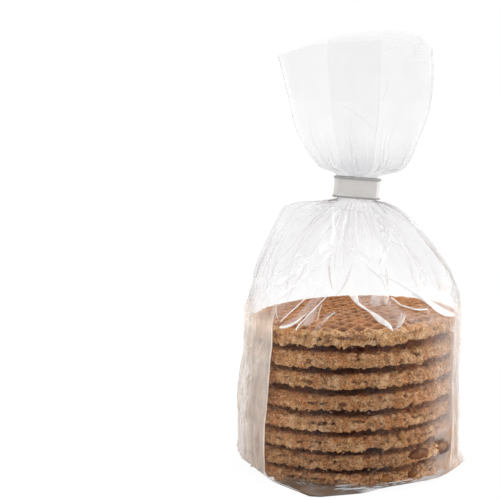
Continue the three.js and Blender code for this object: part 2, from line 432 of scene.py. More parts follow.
def film_material(name="film", white=colour(0.93, 0.93, 0.94)):
    """Thin clear film: see-through, glossy and greyer at a slant, milky where creased, with painted
    light and shade.
    """
    n = Nodes(bpy.data.materials.new(name))
    slant = n.add("ShaderNodeLayerWeight", {"Blend": 0.5}).outputs["Facing"]
    gloss = n.span(n.math("POWER", slant, 4.0), 0.0, 1.0, 0.007, 0.8)
    normal = n.bump(n.noise(110, 4.0, 0.6), 0.3, 0.001)
    grey = n.math("MULTIPLY_ADD", n.math("POWER", slant, 3.5), 0.6, n.attribute("dim"), clamp=True)
    tint = n.mix_colour(grey, colour(0.995, 0.995, 0.996), colour(0.70, 0.70, 0.715))
    clear = n.shader("Transparent", Color=tint)
    shine = n.shader("Glossy", Color=WHITE, Roughness=0.09, Normal=normal)
    cloud = n.span(n.noise(150, 5.0, 0.65, (1, 1, 0.5)), 0.3, 0.7, 0.82, 1.12)
    haze = n.math("MULTIPLY", n.attribute("haze"), cloud)
    # haze and crease: a milky veil, partly the film's own milkiness and partly painted reflections
    # and highlights
    veil = n.math("ADD", n.math("ADD", haze, n.attribute("crease")), 0.002, clamp=True)
    # painted light: the haze takes the brown of the light from the waffles
    milk = n.mix_colour(n.attribute("crumb_light_tint"), white, colour(0.62, 0.39, 0.25))
    # painted shade: the foot, the bag's bottom and the right pleat darken to this shaded brown
    milk = n.mix_colour(n.attribute("film_shade"), milk, colour(0.17, 0.11, 0.075))
    film = n.mix_shader(gloss, clear, shine)
    return n.output(n.mix_shader(veil, film, milk_shader(n, normal, milk)))


def fold_material(name, white):
    """A crease or fold pressed in the film: milky, in a colour that paints highlight or shade, and
    clear where its strength is nil.
    """
    n = Nodes(bpy.data.materials.new(name))
    normal = n.bump(n.noise(300, 3.0, 0.6), 0.3, 0.0008)
    clear = n.shader("Transparent", Color=WHITE)
    shine = n.shader("Glossy", Color=WHITE, Roughness=0.25, Normal=normal)
    fold = n.mix_shader(0.14, milk_shader(n, normal, white), shine)
    streak = n.span(n.noise(300, 3.0, 0.6), 0.3, 0.62, 0.8, 1.1)
    strength = n.math("MULTIPLY", n.attribute("crease"), streak, clamp=True)
    return n.output(n.mix_shader(strength, clear, fold))


def band_material():
    """Light grey satin plastic, darker on the wires along its edges."""
    n = Nodes(bpy.data.materials.new("band"))
    cloud = n.span(n.noise(180, 4.0), 0.3, 0.7)
    shade = n.mix_colour(cloud, colour(0.62, 0.605, 0.58), colour(0.69, 0.675, 0.655))
    split = n.add("ShaderNodeSeparateXYZ", {0: n.place()}).outputs
    level = n.math("MULTIPLY_ADD", split["X"], math.tan(BAND_TILT), split["Z"])
    away = n.math("ABSOLUTE", n.math("SUBTRACT", level, BAND_LEVEL * MM))
    shade = n.mix_colour(n.span(away, 0.0037, 0.0042), shade, colour(0.36, 0.36, 0.355))
    return n.plain(shade, 0.5, 0.25, n.bump(n.noise(900), 0.15, 0.0003))


def floor_material():
    """A pale table that is burnt out to white in the picture, with a trace of shadow."""
    n = Nodes(bpy.data.materials.new("floor"))
    pale = n.shader("Diffuse", Color=colour(0.7, 0.7, 0.7))
    glow = n.add("ShaderNodeEmission", {"Color": WHITE, "Strength": 1.02}).outputs[0]
    seen = n.add("ShaderNodeLightPath").outputs["Is Camera Ray"]
    away = n.add("ShaderNodeVectorMath", {0: n.place()}, operation="LENGTH").outputs["Value"]
    burnt = n.span(away, 0.08, 0.25, 0.93, 1.0)
    return n.output(n.mix_shader(n.math("MULTIPLY", seen, burnt), pale, glow))


# ---------------------------------------------------------------- waffles


def section_step(inset, past_edge, covered):
    """How far apart the section's points lie: close at the rim and wide where it's flat."""
    if inset < 2.4:
        return 0.33
    if not past_edge:
        return 1.2 if inset < 8 else 12.0
    if not covered:
        return 0.85
    if inset < 6:
        return 0.7
    return 1.3 if inset < 13 else 6.0


def section_points(radius, thick, covered):
    """Points over the waffle's section: inset, height, and whether past the lower edge."""
    corners = np.array(UNDERSIDE + RIM_AND_TOP)
    if covered:
        pressed = fade(corners[:, 0], 22, 7) * np.maximum(corners[:, 1] - SHOULDER_HEIGHT, 0)
        corners[:, 1] -= 0.8 * pressed
    corners[corners[:, 0] > 40, 0] = radius
    corners[:, 1] *= thick / SECTION_HEIGHT
    lengths = lengths_along(corners)
    edge = lengths[len(UNDERSIDE) - 1]
    places = [0.0]
    while places[-1] < lengths[-1]:
        inset = np.interp(places[-1], lengths, corners[:, 0])
        places.append(places[-1] + section_step(inset, places[-1] > edge, covered))
    places[-1] = lengths[-1]
    inset, height = (np.interp(places, lengths, corners[:, k]) for k in range(2))
    return inset, height, np.array(places) > edge


def rounded(distance):
    """The round backs of grains with sharp crevices between them, from -0.5 to 0.5."""
    return 0.5 - np.clip(distance / 0.8, 0, 1) ** 2


def grid_relief(points, turn, seed):
    """The baked squares: 0 on the ridges, 1 in the wells."""
    c, s = math.cos(math.radians(turn)), math.sin(math.radians(turn))
    x = points[..., 0] + 0.9 * noise(points, 11, seed)
    y = points[..., 1] + 0.9 * noise(points, 11, seed + 1)
    u, v = c * x + s * y, c * y - s * x
    across = [np.abs(((w / GRID_PITCH) % 1) - 0.5) * 2 for w in (u, v)]
    return fade(np.maximum(*across), 0.96, 0.5)


ROUND_ONLY = [1, 1, 0.01]  # the stretch of a noise that hardly changes with the height


class Waffle:
    """One waffle as a grid of points: rows go over its section, columns round its rim."""

    def __init__(self, index):
        self.spec, self.seed = WAFFLES[index], 40 * (index + 1)
        self.topmost, self.lowest = index == 0, index == len(WAFFLES) - 1
        self.thick = self.spec["thick"]
        radius = self.spec["radius"]
        inset, height, top_side = section_points(radius, self.thick, not self.topmost)
        along_in, along_up = np.gradient(inset), np.gradient(height)
        length = np.hypot(along_in, along_up)
        self.out, self.up = (along_up / length)[:, None], (along_in / length)[:, None]
        self.inset, self.height, self.top_side = inset[:, None], height[:, None], top_side[:, None]
        angle = np.arange(RIM_COLUMNS) / RIM_COLUMNS * TAU
        self.degrees = np.degrees(angle)
        self.ring = np.stack([np.cos(angle), np.sin(angle), 0 * angle], axis=-1)
        edge = radius + 0.5 * self.round_rim(16, 0)
        reach = np.maximum(edge - self.inset * (edge / radius), 0)
        self.base = reach[..., None] * self.ring + self.height[..., None] * [0, 0, 1.0]
        self.at_rim = np.where(top_side, fade(inset, 5.0, 1.8), fade(inset, 4.0, 1.5))[:, None]
        self.on_top = np.where(top_side, fade(inset, 2.0, 5.0), 0.0)[:, None]
        self.under = np.where(top_side, 0, fade(inset, 0.8, 3.0))[:, None]
        self.bake()

    def round_rim(self, size, step):
        """Noise that changes round the rim only. step sets its seed, here and below."""
        return noise(self.ring * 50, size, self.seed + step)

    def all_over(self, size, step, stretch=1):
        """Noise over the whole surface, drawn out along an axis whose stretch is below 1."""
        return noise(self.base * stretch, size, self.seed + step)

    def crumbly(self, size, step):
        """Noise with the crumb's irregular outlines."""
        return noise(self.warped, size, self.seed + step)

    def bake(self):
        """Grains, lumps, holes, the baked squares and the joint of the two halves."""
        warp = [self.all_over(1.4, step) for step in (21, 22, 23)]
        self.warped = self.base + 0.5 * np.stack(warp, axis=-1)
        self.coarse = grains(self.warped, 2.7, self.seed + 2)
        self.fine = grains(self.warped, 1.25, self.seed + 5)
        self.scallop = self.all_over(3.4, 38, [1, 1, 0.6]) + 0.5 * self.all_over(1.3, 40)
        self.crag, self.hole = self.crumbly(2.6, 31), fade(self.crumbly(1.5, 8), 0.5, 0.75)
        self.squares = grid_relief(self.base, self.spec["turn"], self.seed + 26)
        deep = np.clip(0.8 + 0.7 * self.all_over(8, 14), 0.2, 1.3)
        self.wells = self.squares * self.on_top * deep
        self.seam, self.faint = self.seams()

    def gaping(self):
        """1 where the seam gapes: the given spans at the front, and some of the rest."""
        front = np.zeros(RIM_COLUMNS)
        for start, end in self.spec["seams"]:
            span = between(self.degrees, start - 2, start + 2, end - 2, end + 2)
            front = np.maximum(front, span)
        others = fade(self.round_rim(15, 10), 0.0, 0.3)
        return np.where((self.degrees > 215) & (self.degrees < 330), front, others)

    def seams(self):
        """The gaping joint between the two halves, and where it is no more than a line."""
        level = SEAM_HEIGHT * self.thick / SECTION_HEIGHT
        level = level + self.all_over(4.2, 9, ROUND_ONLY) + 0.5 * self.all_over(1.3, 39, ROUND_ONLY)
        off = self.height - level
        gaping = self.gaping()
        slit = np.maximum(0.3 + 0.28 * self.round_rim(1.7, 32), 0.12)
        near = np.exp(-((off / slit) ** 2)) * (self.inset < 2.6)
        broken = fade(self.round_rim(2.4, 11) + 0.8 * self.round_rim(1.0, 33), -0.2, 0.2)
        speckle = np.exp(-((off / 1.1) ** 2)) * fade(self.crumbly(1.1, 34), 0.22, 0.5)
        faint = np.maximum((1 - gaping) * near * (broken > 0.9) * 0.5, gaping * speckle)
        if self.topmost:
            return 0.6 * gaping * near * broken, 0.5 * faint
        return gaping * near * broken, faint

    def relief(self):
        """How far the surface stands out from the plain section."""
        lumps = 0.4 * self.all_over(5.0, 13) + 0.35 * self.crag
        push = self.at_rim * (0.66 * rounded(self.coarse) + 0.6 * rounded(self.fine) + lumps)
        if not self.topmost:
            upper = fade(self.height / self.thick, 0.45, 0.75)
            push = push + self.at_rim * upper * 0.5 * self.scallop
        flat = 0.26 * rounded(self.fine) + 0.4 * self.all_over(3.2, 15)
        push = push + (1 - self.at_rim) * flat
        push = push - self.at_rim * (0.8 * self.hole + 0.4 * self.faint)
        return push - 1.1 * self.seam - 1.4 * self.wells

    def surface(self):
        """The grid of points with its relief and a ragged lower edge, where it lies."""
        push = self.relief()
        points = self.base.copy()
        points[..., :2] += (push * self.out)[..., None] * self.ring[:, :2]
        points[..., 2] += push * self.up
        ragged = fade(self.height, 1.9, 0.3) * fade(self.inset, 4.5, 1.5)
        points[..., 2] += ragged * (0.45 * self.round_rim(5.0, 16) + 0.7 * self.round_rim(1.2, 17))
        if self.lowest:
            worn = WORN_EDGE * between(self.degrees, 165, 180, 206, 222)
            points[..., 2] += worn * np.clip(1 - points[..., 2] / self.thick, 0, 1)
        lean = math.tan(math.radians(self.spec["lean"]))
        points[..., 2] += self.spec["lift"] + points[..., 0] * lean
        points[..., 0] += self.spec["shift"]
        points[..., 2] = np.maximum(points[..., 2], LEAST_HEIGHT)
        return points

    def past_shoulder(self):
        """How far a covered waffle's rim has passed its browned upper edge."""
        share = self.height / self.thick
        return (share - 0.73) * 12 + 2.2 * self.scallop + 1.2 * (self.squares - 0.6)

    def browning(self):
        """0 on the pale crumb of the rim, 1 where the iron browned the top and underside."""
        margin = (3.3 if self.topmost else 1.5) + 1.1 * self.round_rim(9, 18)
        margin = margin + 0.7 * self.round_rim(3, 19)
        past = self.inset - margin + 3.6 * (self.squares - 0.5)
        if not self.topmost:
            past = np.maximum(past, self.past_shoulder() + 0.8 * self.crag)
        brown = np.where(self.top_side, fade(past, -0.9, 1.4), 0.0)
        brown = brown * np.clip(0.92 + 0.25 * self.all_over(2.2, 20), 0, 1)
        if self.topmost:
            brown = np.maximum(brown * (1 - 0.55 * (1 - self.squares)), self.under)
        else:
            brown = np.maximum(brown, self.under) * (1 - 0.35 * self.at_rim)
        patch = fade(self.all_over(4.5, 30), 0.25, 0.6) * fade(self.height, 2.5, 5.0)
        return np.clip(np.maximum(brown, 0.3 * patch * self.at_rim), 0, 1)

    def painted_crevice_shade(self):
        """Painted shade in the crevices: seams, holes, cracks and the wells between squares."""
        crack = 0.35 * fade(self.fine, 0.64, 0.9) + 0.4 * fade(self.coarse, 0.66, 0.95)
        crevice_shade = 0.85 * self.seam + 0.55 * self.faint + self.at_rim * (0.5 * self.hole + crack)
        if self.topmost:
            crevice_shade = crevice_shade + self.wells**0.6 * (0.8 + 0.4 * self.all_over(6, 37))
        else:
            # painted shade on the covered waffles' browned upper edges, which lie in the gaps
            browned = np.where(self.top_side, fade(self.past_shoulder(), 0.0, 1.6), 0)
            crevice_shade = crevice_shade + 0.22 * self.at_rim * browned
        # and painted shade on the underside near the rim
        return np.clip(crevice_shade + 0.3 * self.under * self.at_rim, 0, 1)

    def tone(self):
        """How much darker the crumb is coloured, and the painted light that makes it paler at the
        right of the front.
        """
        # painted light: the right of the front, where more light falls, is coloured paler
        pale = 0.95 * between(self.degrees, 286, 316, 350, 360)
        tone = self.spec["tone"] * (1 - pale)
        tone = tone + 0.25 * self.all_over(14, 35) + 0.15 * self.all_over(5, 36)
        if self.topmost:
            to_back = self.base[..., 1] - 0.7 * self.base[..., 0] + 9 * self.all_over(17, 41)
            darker = 0.5 * fade(to_back, 0, 34) + 0.25 * self.all_over(8, 42)
            tone = tone + self.on_top * darker
        return np.clip(tone, 0, 1)


def make_waffle(index, material):
    """Builds the waffle with this place in the stack, 0 being the topmost."""
    waffle = Waffle(index)
    attributes = {"browning": waffle.browning(), "crevice_shade": waffle.painted_crevice_shade(), "tone": waffle.tone()}
    finish_piece(f"waffle_{index + 1}", waffle.surface(), material, attributes)


# ---------------------------------------------------------------- syrup and crumbs


def rim_point(index, angle, share):
    """A point on the rim of a waffle, at a share of its thickness, and the way out."""
    spec = WAFFLES[index]
    out = sideways(math.radians(angle))
    point = out * (spec["radius"] - 0.1)
    lean = math.tan(math.radians(spec["lean"]))
    point[2] = spec["lift"] + spec["thick"] * share + point[0] * lean
    point[0] += spec["shift"]
    return point, out


def syrup_blob(gather, spot, seed):
    """A smooth drop of irregular outline lying on the rim."""
    index, angle, share, width, height, pale = spot
    turns, rings = 28, 9
    turn = np.arange(turns) / turns * TAU
    place = np.stack([np.cos(turn) * 1.3, np.sin(turn) * 1.3, np.full(turns, seed * 7.7)], -1)
    outline = 1 + 0.3 * noise(place, 1.0, 900) + 0.12 * noise(place, 0.4, 901)
    out_by = np.linspace(0, 1, rings)[:, None]
    aside = out_by * outline * np.cos(turn) * width / 2
    up = out_by * outline * np.sin(turn) * height / 2 * (1.1 - 0.35 * np.cos(turn) ** 2)
    dome = (0.8 + 0.08 * width) * (1 - out_by**3.0) - 0.1
    radius = WAFFLES[index]["radius"]
    grid = np.zeros((rings, turns, 3))
    for ring, column in np.ndindex(rings, turns):
        at = angle + math.degrees(aside[ring, column] / radius)
        point, out = rim_point(index, at, share)
        grid[ring, column] = point + out * dome[ring] + np.array([0, 0, up[ring, column]])
    edge = np.broadcast_to(fade(out_by, 0.72, 0.95), (rings, turns)) - pale
    gather.add(grid, closed=True, values=edge)


def make_syrup(material):
    """The drops that the photo shows, and more of them on the sides and the back."""
    random = np.random.default_rng(77)
    spots = list(SYRUP_SPOTS)
    for _ in range(SPOTS_BEHIND):
        angle = random.uniform(352, 560) % 360
        width = random.choice([2.5, 3.5, 5, 8])
        height = min(width * random.uniform(0.55, 0.85), 4.6)
        index = int(random.integers(0, len(WAFFLES)))
        spots.append((index, angle, random.uniform(0.3, 0.55), width, height, 0))
    gather = Gather()
    for seed, spot in enumerate(spots):
        syrup_blob(gather, spot, seed)
    gather.piece("syrup_drops", material, "syrup")


def add_crumb(gather, point, size, random):
    """A small lump with six uneven sides."""
    turn = np.arange(6) / 6 * TAU
    stretch = random.uniform(0.6, 1.3, 3) * size
    point[2] = max(point[2], stretch[2] + LEAST_HEIGHT)
    rows = []
    for lift, wide in ((-1, 0.25), (-0.4, 0.95), (0.45, 0.85), (1, 0.2)):
        wobble = wide * random.uniform(0.75, 1.2, 6)
        ring = np.stack([np.cos(turn) * wobble, np.sin(turn) * wobble, lift + 0 * turn], -1)
        rows.append(ring * stretch + point)
    gather.add(np.array(rows), closed=True)


def make_crumbs(material, sugar):
    """Small crumbs and pale grains on the rims, most of them along the gaps, the grains in part
    painted glints.
    """
    random = np.random.default_rng(78)
    crumbs, sugar_glint_grains = Gather(), Gather()
    for _ in range(CRUMBS):
        index = int(random.integers(0, len(WAFFLES)))
        angle = random.uniform(0, 360)
        ledge = random.random() < 0.7 and index < len(WAFFLES) - 1
        share = random.uniform(-0.06, 0.04) if ledge else random.uniform(0.1, 0.75)
        point, out = rim_point(index, angle, share)
        point = point - out * random.uniform(-0.3, 0.6)
        add_crumb(crumbs, point, random.uniform(0.18, 0.5), random)
    for _ in range(SUGAR_AND_GLINT_GRAINS):
        index = int(random.integers(0, len(WAFFLES)))
        share = random.normal(-0.02, 0.08) if random.random() < 0.6 else random.uniform(0.0, 1.0)
        point, out = rim_point(index, random.uniform(0, 360), share)
        point = point + out * random.uniform(-0.2, 0.4)
        add_crumb(sugar_glint_grains, point, random.uniform(0.1, 0.2), random)
    crumbs.piece("crumbs", material, "waffle", label="browning")
    sugar_glint_grains.piece("sugar_and_glint_grains", sugar, "waffle")


# ---------------------------------------------------------------- film


class Outside:
    """A closed surface to follow with rays, in mm."""

    def __init__(self, points, faces):
        flat = points.reshape(-1, 3)
        self.tree = BVHTree.FromPolygons([tuple(p) for p in flat], [tuple(f) for f in faces])

    @classmethod
    def of_node(cls, node):
        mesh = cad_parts[node].data
        points = np.array([vertex.co / MM for vertex in mesh.vertices])
        return cls(points, [face.vertices for face in mesh.polygons])

    def leave(self, start, along, first=False):
        """Where a ray from inside leaves: for the last time, or the first."""
        place = None
        start, along = Vector(start), Vector(along).normalized()
        while True:
            found = self.tree.ray_cast(start, along)[0]
            if found is None:
                return place
            place = np.array(found)
            if first:
                return place
            start = found + along * 0.01

    def nearest(self, point):
        place, normal, _, _ = self.tree.find_nearest(Vector(point))
        return np.array(place), np.array(normal)


bag = Outside.of_node("bag")


def from_axis(points):
    """Level distance of points from the upright axis."""
    return np.hypot(points[..., 0], points[..., 1])


def from_neck(points):
    """Level distance of points from the middle of the gathered neck."""
    return np.hypot(points[..., 0] - NECK[0], points[..., 1])


def scaled_sideways(points, share):
    """Points drawn in or out from the upright axis."""
    result = points.copy()
    result[..., :2] *= share[..., None]
    return result


def neck_ring(height):
    """The gathered neck at a height above or below the band's middle."""
    x = NECK_HALF[0] * np.cos(FILM_ROUND * TAU)
    y = NECK_HALF[1] * np.sin(FILM_ROUND * TAU)
    z = NECK[2] + height - x * math.tan(BAND_TILT)
    return np.stack([NECK[0] + x, NECK[1] + y, z], axis=-1)


def body_rows():
    """Film round the stack, from the table to the top waffle."""
    low = [0.12, 0.35, 0.7, 1.2, 1.8, 2.4, 3.0, 3.6, 4.2]
    heights = np.concatenate([low, np.arange(4.8, STACK_TOP, 1.2)])
    ways = [sideways(angle) for angle in FILM_ROUND * TAU]
    return np.array([[bag.leave((0, 0, z), way) for way in ways] for z in heights])


def tucked(rows):
    """Draws the film in under the stack, so that the bag's bottom edge is rounded."""
    height = np.interp(FILM_DEGREES, *zip(*TUCK))
    below = np.clip(1 - rows[..., 2] / height, 0, 1)
    return scaled_sideways(rows, 1 - 2.9 * height * below**1.5 / from_axis(rows))


def pinched(rows):
    """Draws the film in above the right corner of the foot, and lets it flare down to that."""
    reach = from_axis(rows)
    wide = PINCH_REACH + CORNER_FLARE * fade(rows[..., 2], 6.0, 0.8)
    near = fade(np.cos(np.radians(FILM_DEGREES - PINCH_ANGLE)), 0.7, 0.9)
    drawn = reach * (1 - near) + np.minimum(reach, wide) * near
    return scaled_sideways(rows, drawn / reach)


def taut(rows):
    """The film spans the joints between the waffles instead of following each one."""
    z = rows[:, 0, 2]
    reach = from_axis(rows)
    widest = np.array([reach[np.abs(z - level) < JOINT_SPAN].max(axis=0) for level in z])
    even = np.array([widest[np.abs(z - level) < 4.0].mean(axis=0) for level in z])
    share = between(z, 6, 11, 69, 74)[:, None]
    return scaled_sideways(rows, (reach * (1 - share) + even * share) / reach)


def shoulder_rows(rim):
    """Film from the stack's rim to the neck, cast out onto the solid's shoulders."""
    neck = neck_ring(-BAND_HEIGHT / 2 - 0.4)
    rows = []
    for share in np.arange(1, SHOULDER_STEPS) / SHOULDER_STEPS:
        aim = rim + (neck - rim) * share
        row = np.array([bag.leave(INSIDE, target - INSIDE, first=True) for target in aim])
        pull = fade(share, 0.94, 1.0)
        rows.append(row * (1 - pull) + neck * pull)
    return np.array(rows + [neck, neck_ring(-BAND_HEIGHT / 2 + 2.5)])


def outward(points):
    """Unit normals of a grid of points closed in its columns."""
    across = np.roll(points, -1, axis=1) - np.roll(points, 1, axis=1)
    up = np.gradient(points, axis=0)
    normal = np.cross(across, up)
    return normal / np.maximum(np.linalg.norm(normal, axis=-1, keepdims=True), 1e-9)


def pleat_wave(turns, count, seed):
    """Irregular sharp pleats round the neck: 1 on the ridges, 0 in the valleys."""
    random = np.random.default_rng(seed)
    ridges = (np.arange(count) + random.uniform(-0.32, 0.32, count)) / count
    valleys = (ridges + np.roll(ridges, -1) + np.where(np.arange(count) == count - 1, 1, 0)) / 2
    valleys = valleys + random.uniform(-0.22, 0.22, count) / count
    knots = np.concatenate([ridges, valleys]) % 1
    values = np.concatenate([random.uniform(0.75, 1.0, count), random.uniform(0.0, 0.3, count)])
    order = np.argsort(knots)
    return np.interp(turns % 1, knots[order], values[order], period=1)


# Milky areas of the film, all but one over the top waffle, partly painted reflections: how
# milky each is, and its outline as (x, z) at the front
MILKY_AREAS = [
    (0.035, [(-22.0, 73.6), (-16.0, 80.0), (-6.0, 83.0), (4.0, 82.0), (16.0, 76.5), (30.0, 75.5),
            (34.0, 72.5), (20.0, 71.0), (0.0, 70.5), (-14.0, 71.5)]),
    (0.22, [(-17.1, 91.5), (-21.4, 87.7), (-25.9, 83.6), (-30.4, 79.1), (-34.3, 74.3),
            (-36.6, 71.3), (-37.5, 76.0), (-37.4, 83.4), (-36.5, 89.6), (-29.2, 92.7),
            (-22.5, 94.2)]),
    (0.26, [(-17.4, 91.0), (-18.5, 87.9), (-23.7, 81.9), (-27.1, 78.4), (-30.4, 76.0),
            (-34.0, 74.0), (-34.1, 72.3), (-29.6, 74.3), (-25.6, 76.7), (-22.5, 79.4),
            (-18.5, 83.4), (-14.5, 87.3), (-13.8, 91.4)]),
    (0.38, [(-17.1, 84.2), (-18.1, 80.7), (-19.2, 76.5), (-22.4, 74.8), (-24.6, 75.0),
            (-21.6, 80.1)]),
    (0.32, [(-10.9, 81.1), (-13.4, 78.2), (-16.1, 74.9), (-18.3, 72.8), (-19.8, 73.1),
            (-17.6, 76.2), (-14.2, 79.4)]),
    (0.2, [(-1.3, 90.7), (0.1, 84.8), (3.9, 81.6), (9.1, 79.6), (16.1, 73.7), (19.3, 75.2),
           (20.2, 80.3), (18.5, 83.2), (15.5, 85.8), (12.4, 88.7), (10.7, 90.8)]),
    (0.38, [(5.5, 86.8), (8.4, 90.0), (12.1, 90.8), (12.2, 84.3), (9.4, 83.2), (6.3, 84.4)]),
    (0.36, [(15.6, 73.3), (19.8, 81.1), (20.4, 80.1), (18.9, 76.4), (17.0, 73.6)]),
    (0.2, [(19.9, 82.3), (28.7, 79.9), (43.1, 75.8), (40.2, 72.9), (30.8, 74.5),
           (23.2, 76.5)]),
    (0.6, [(36.8, 22.0), (39.0, 24.6), (42.5, 25.0), (45.0, 21.5), (43.8, 18.6), (39.4, 18.9)]),
    (0.42, [(22.0, 90.6), (28.3, 86.7), (34.9, 82.2), (48.2, 73.9), (50.6, 80.7),
            (45.1, 86.2), (34.7, 90.1)]),
]

# Creases pressed in the film, each a ribbon along (angle, height, half width, strength) in
# degrees and mm: the white ones, painted highlights over the top waffle and on the left shoulder
WHITE_HIGHLIGHT_CREASES = [
    [(264.8, 88.7, 2.02, 0.75), (266.0, 86.4, 1.39, 0.75), (267.5, 84.5, 0.67, 0.8),
     (271.0, 82.5, 0.4, 0.85), (274.9, 80.8, 0.45, 0.8), (277.3, 79.1, 1.2, 0.7),
     (280.2, 77.1, 1.33, 0.75), (283.2, 75.7, 0.98, 0.85), (286.2, 74.1, 0.44, 0.9),
     (288.3, 73.0, 0.09, 0.9)],
    [(288.3, 73.2, 0.18, 0.5), (290.8, 76.5, 0.89, 0.35), (294.2, 80.4, 0.81, 0.25)],
    [(303.3, 88.2, 0.68, 0.6), (307.9, 85.8, 0.82, 0.65), (312.4, 83.1, 1.01, 0.75),
     (315.7, 80.9, 1.74, 0.75), (319.4, 78.9, 1.84, 0.75), (325.1, 77.2, 1.16, 0.7),
     (334.4, 75.3, 0.38, 0.6)],
    [(287.7, 87.5, 0.36, 0.7), (290.9, 86.0, 0.36, 0.8), (291.4, 84.1, 0.31, 0.8),
     (294.5, 82.8, 0.27, 0.75), (300.6, 81.4, 0.27, 0.7), (304.9, 80.5, 0.41, 0.7),
     (311.5, 80.7, 0.23, 0.5)],
    [(286.7, 90.0, 1.13, 0.4), (285.9, 86.9, 1.12, 0.35), (283.2, 83.1, 0.67, 0.2)],
    [(274.5, 86.4, 1.34, 0.2), (277.9, 85.6, 2.24, 0.28), (281.9, 84.8, 1.79, 0.2)],
    [(313.8, 87.0, 0.69, 0.3), (324.5, 84.1, 1.85, 0.38), (337.3, 78.5, 1.65, 0.35)],
    [(245.5, 91.8, 0.14, 0.5), (244.6, 91.5, 0.16, 0.8), (239.7, 87.7, 0.18, 0.9),
     (234.7, 83.6, 0.2, 0.95), (230.6, 79.1, 0.2, 0.95), (227.0, 74.3, 0.16, 0.9)],
    [(249.4, 91.0, 0.14, 0.5), (249.8, 87.3, 0.27, 0.85), (245.6, 83.4, 0.22, 0.95),
     (241.7, 79.4, 0.22, 0.95), (239.5, 76.2, 0.22, 0.95), (238.2, 73.3, 0.27, 1.0),
     (237.4, 71.7, 0.31, 1.0)],
    [(226.5, 72.5, 0.27, 0.9), (230.9, 73.3, 0.54, 0.85), (234.0, 74.6, 0.49, 0.85),
     (237.7, 76.9, 0.36, 0.75), (240.7, 80.4, 0.18, 0.5)],
    [(247.3, 84.4, 0.13, 0.45), (247.1, 80.7, 0.22, 0.5), (247.1, 76.4, 0.18, 0.45)],
    [(256.6, 81.3, 0.18, 0.55), (252.9, 79.0, 0.27, 0.5), (250.1, 76.1, 0.22, 0.35)],
    [(224.9, 75.2, 0.14, 0.5), (220.4, 79.5, 0.18, 0.5), (218.6, 84.6, 0.18, 0.4)],
    [(199.1, 89.4, 0.23, 0.6), (195.6, 84.3, 0.33, 0.7), (194.3, 80.3, 0.24, 0.5)],
    [(193.8, 123.3, 0.19, 0.5), (195.4, 117.8, 0.19, 0.7), (193.5, 111.4, 0.19, 0.7),
     (193.9, 104.2, 0.19, 0.7), (194.8, 98.7, 0.19, 0.7), (196.6, 90.9, 0.19, 0.6)],
    [(202.8, 126.6, 0.14, 0.4), (191.5, 126.4, 0.24, 0.6), (191.4, 124.4, 0.24, 0.6),
     (191.2, 120.1, 0.24, 0.6), (190.9, 116.1, 0.19, 0.4)],
    [(218.0, 123.5, 0.14, 0.4), (200.6, 123.0, 0.24, 0.6), (199.2, 120.3, 0.24, 0.6),
     (201.0, 116.5, 0.19, 0.4)],
    [(199.5, 125.1, 0.14, 0.5), (194.9, 123.7, 0.19, 0.5), (192.8, 122.3, 0.14, 0.5)],
    [(231.3, 103.1, 0.18, 0.5), (219.3, 103.1, 0.23, 0.6), (215.6, 102.5, 0.23, 0.7),
     (215.4, 98.8, 0.23, 0.7), (212.4, 94.1, 0.23, 0.7), (204.2, 88.5, 0.19, 0.6)],
    [(237.3, 109.7, 0.69, 0.4), (235.6, 104.0, 1.37, 0.5), (224.7, 98.3, 1.47, 0.55),
     (219.1, 92.2, 1.19, 0.6), (205.1, 85.4, 0.7, 0.5)],
    [(244.2, 105.5, 0.55, 0.4), (239.1, 99.8, 0.73, 0.5), (229.5, 93.4, 0.73, 0.55),
     (220.7, 85.5, 0.64, 0.5), (213.9, 81.1, 0.46, 0.4)],
    [(215.6, 123.5, 0.47, 0.4), (228.8, 118.3, 0.56, 0.55), (238.3, 113.3, 0.56, 0.55),
     (240.2, 106.9, 0.37, 0.4)],
]
# and the grey ones, painted shade on the middle and the right of the shoulders
GREY_SHADE_CREASES = [
    [(228.3, 120.6, 0.19, 0.5), (241.2, 114.0, 0.19, 0.6), (251.1, 109.7, 0.18, 0.7),
     (262.0, 106.1, 0.18, 0.75), (276.0, 99.2, 0.2, 0.75), (282.5, 96.1, 0.2, 0.75),
     (287.2, 93.7, 0.18, 0.75), (287.0, 89.5, 0.23, 0.6)],
    [(259.8, 107.5, 0.14, 0.5), (274.4, 104.0, 0.18, 0.5), (280.6, 100.6, 0.14, 0.4)],
    [(221.8, 123.5, 0.17, 0.5), (254.3, 122.7, 0.19, 0.6), (299.0, 122.0, 0.14, 0.5)],
    [(317.3, 120.8, 0.24, 0.3), (312.6, 116.7, 0.7, 0.38), (310.7, 113.9, 1.87, 0.42),
     (303.9, 110.4, 1.86, 0.42), (293.0, 104.8, 1.01, 0.42), (286.9, 100.0, 0.14, 0.42)],
    [(320.8, 125.2, 0.14, 0.5), (308.5, 119.2, 0.16, 0.6), (313.6, 115.7, 0.16, 0.65),
     (315.4, 113.0, 0.19, 0.7), (309.1, 110.1, 0.19, 0.7), (296.1, 105.4, 0.14, 0.6),
     (286.9, 100.0, 0.14, 0.5)],
    [(330.8, 120.4, 0.14, 0.4), (321.7, 113.1, 0.19, 0.5), (316.5, 103.7, 0.19, 0.55),
     (317.4, 93.4, 0.18, 0.5), (322.5, 87.7, 0.18, 0.4)],
    [(283.0, 97.2, 0.14, 0.4), (297.0, 92.7, 0.18, 0.5), (305.3, 87.4, 0.2, 0.6),
     (312.9, 81.1, 0.18, 0.5)],
    [(308.1, 109.6, 0.14, 0.4), (315.9, 106.5, 0.14, 0.3)],
    [(344.9, 124.6, 0.14, 0.3), (348.9, 119.9, 0.19, 0.4), (355.0, 110.1, 0.19, 0.35)],
]
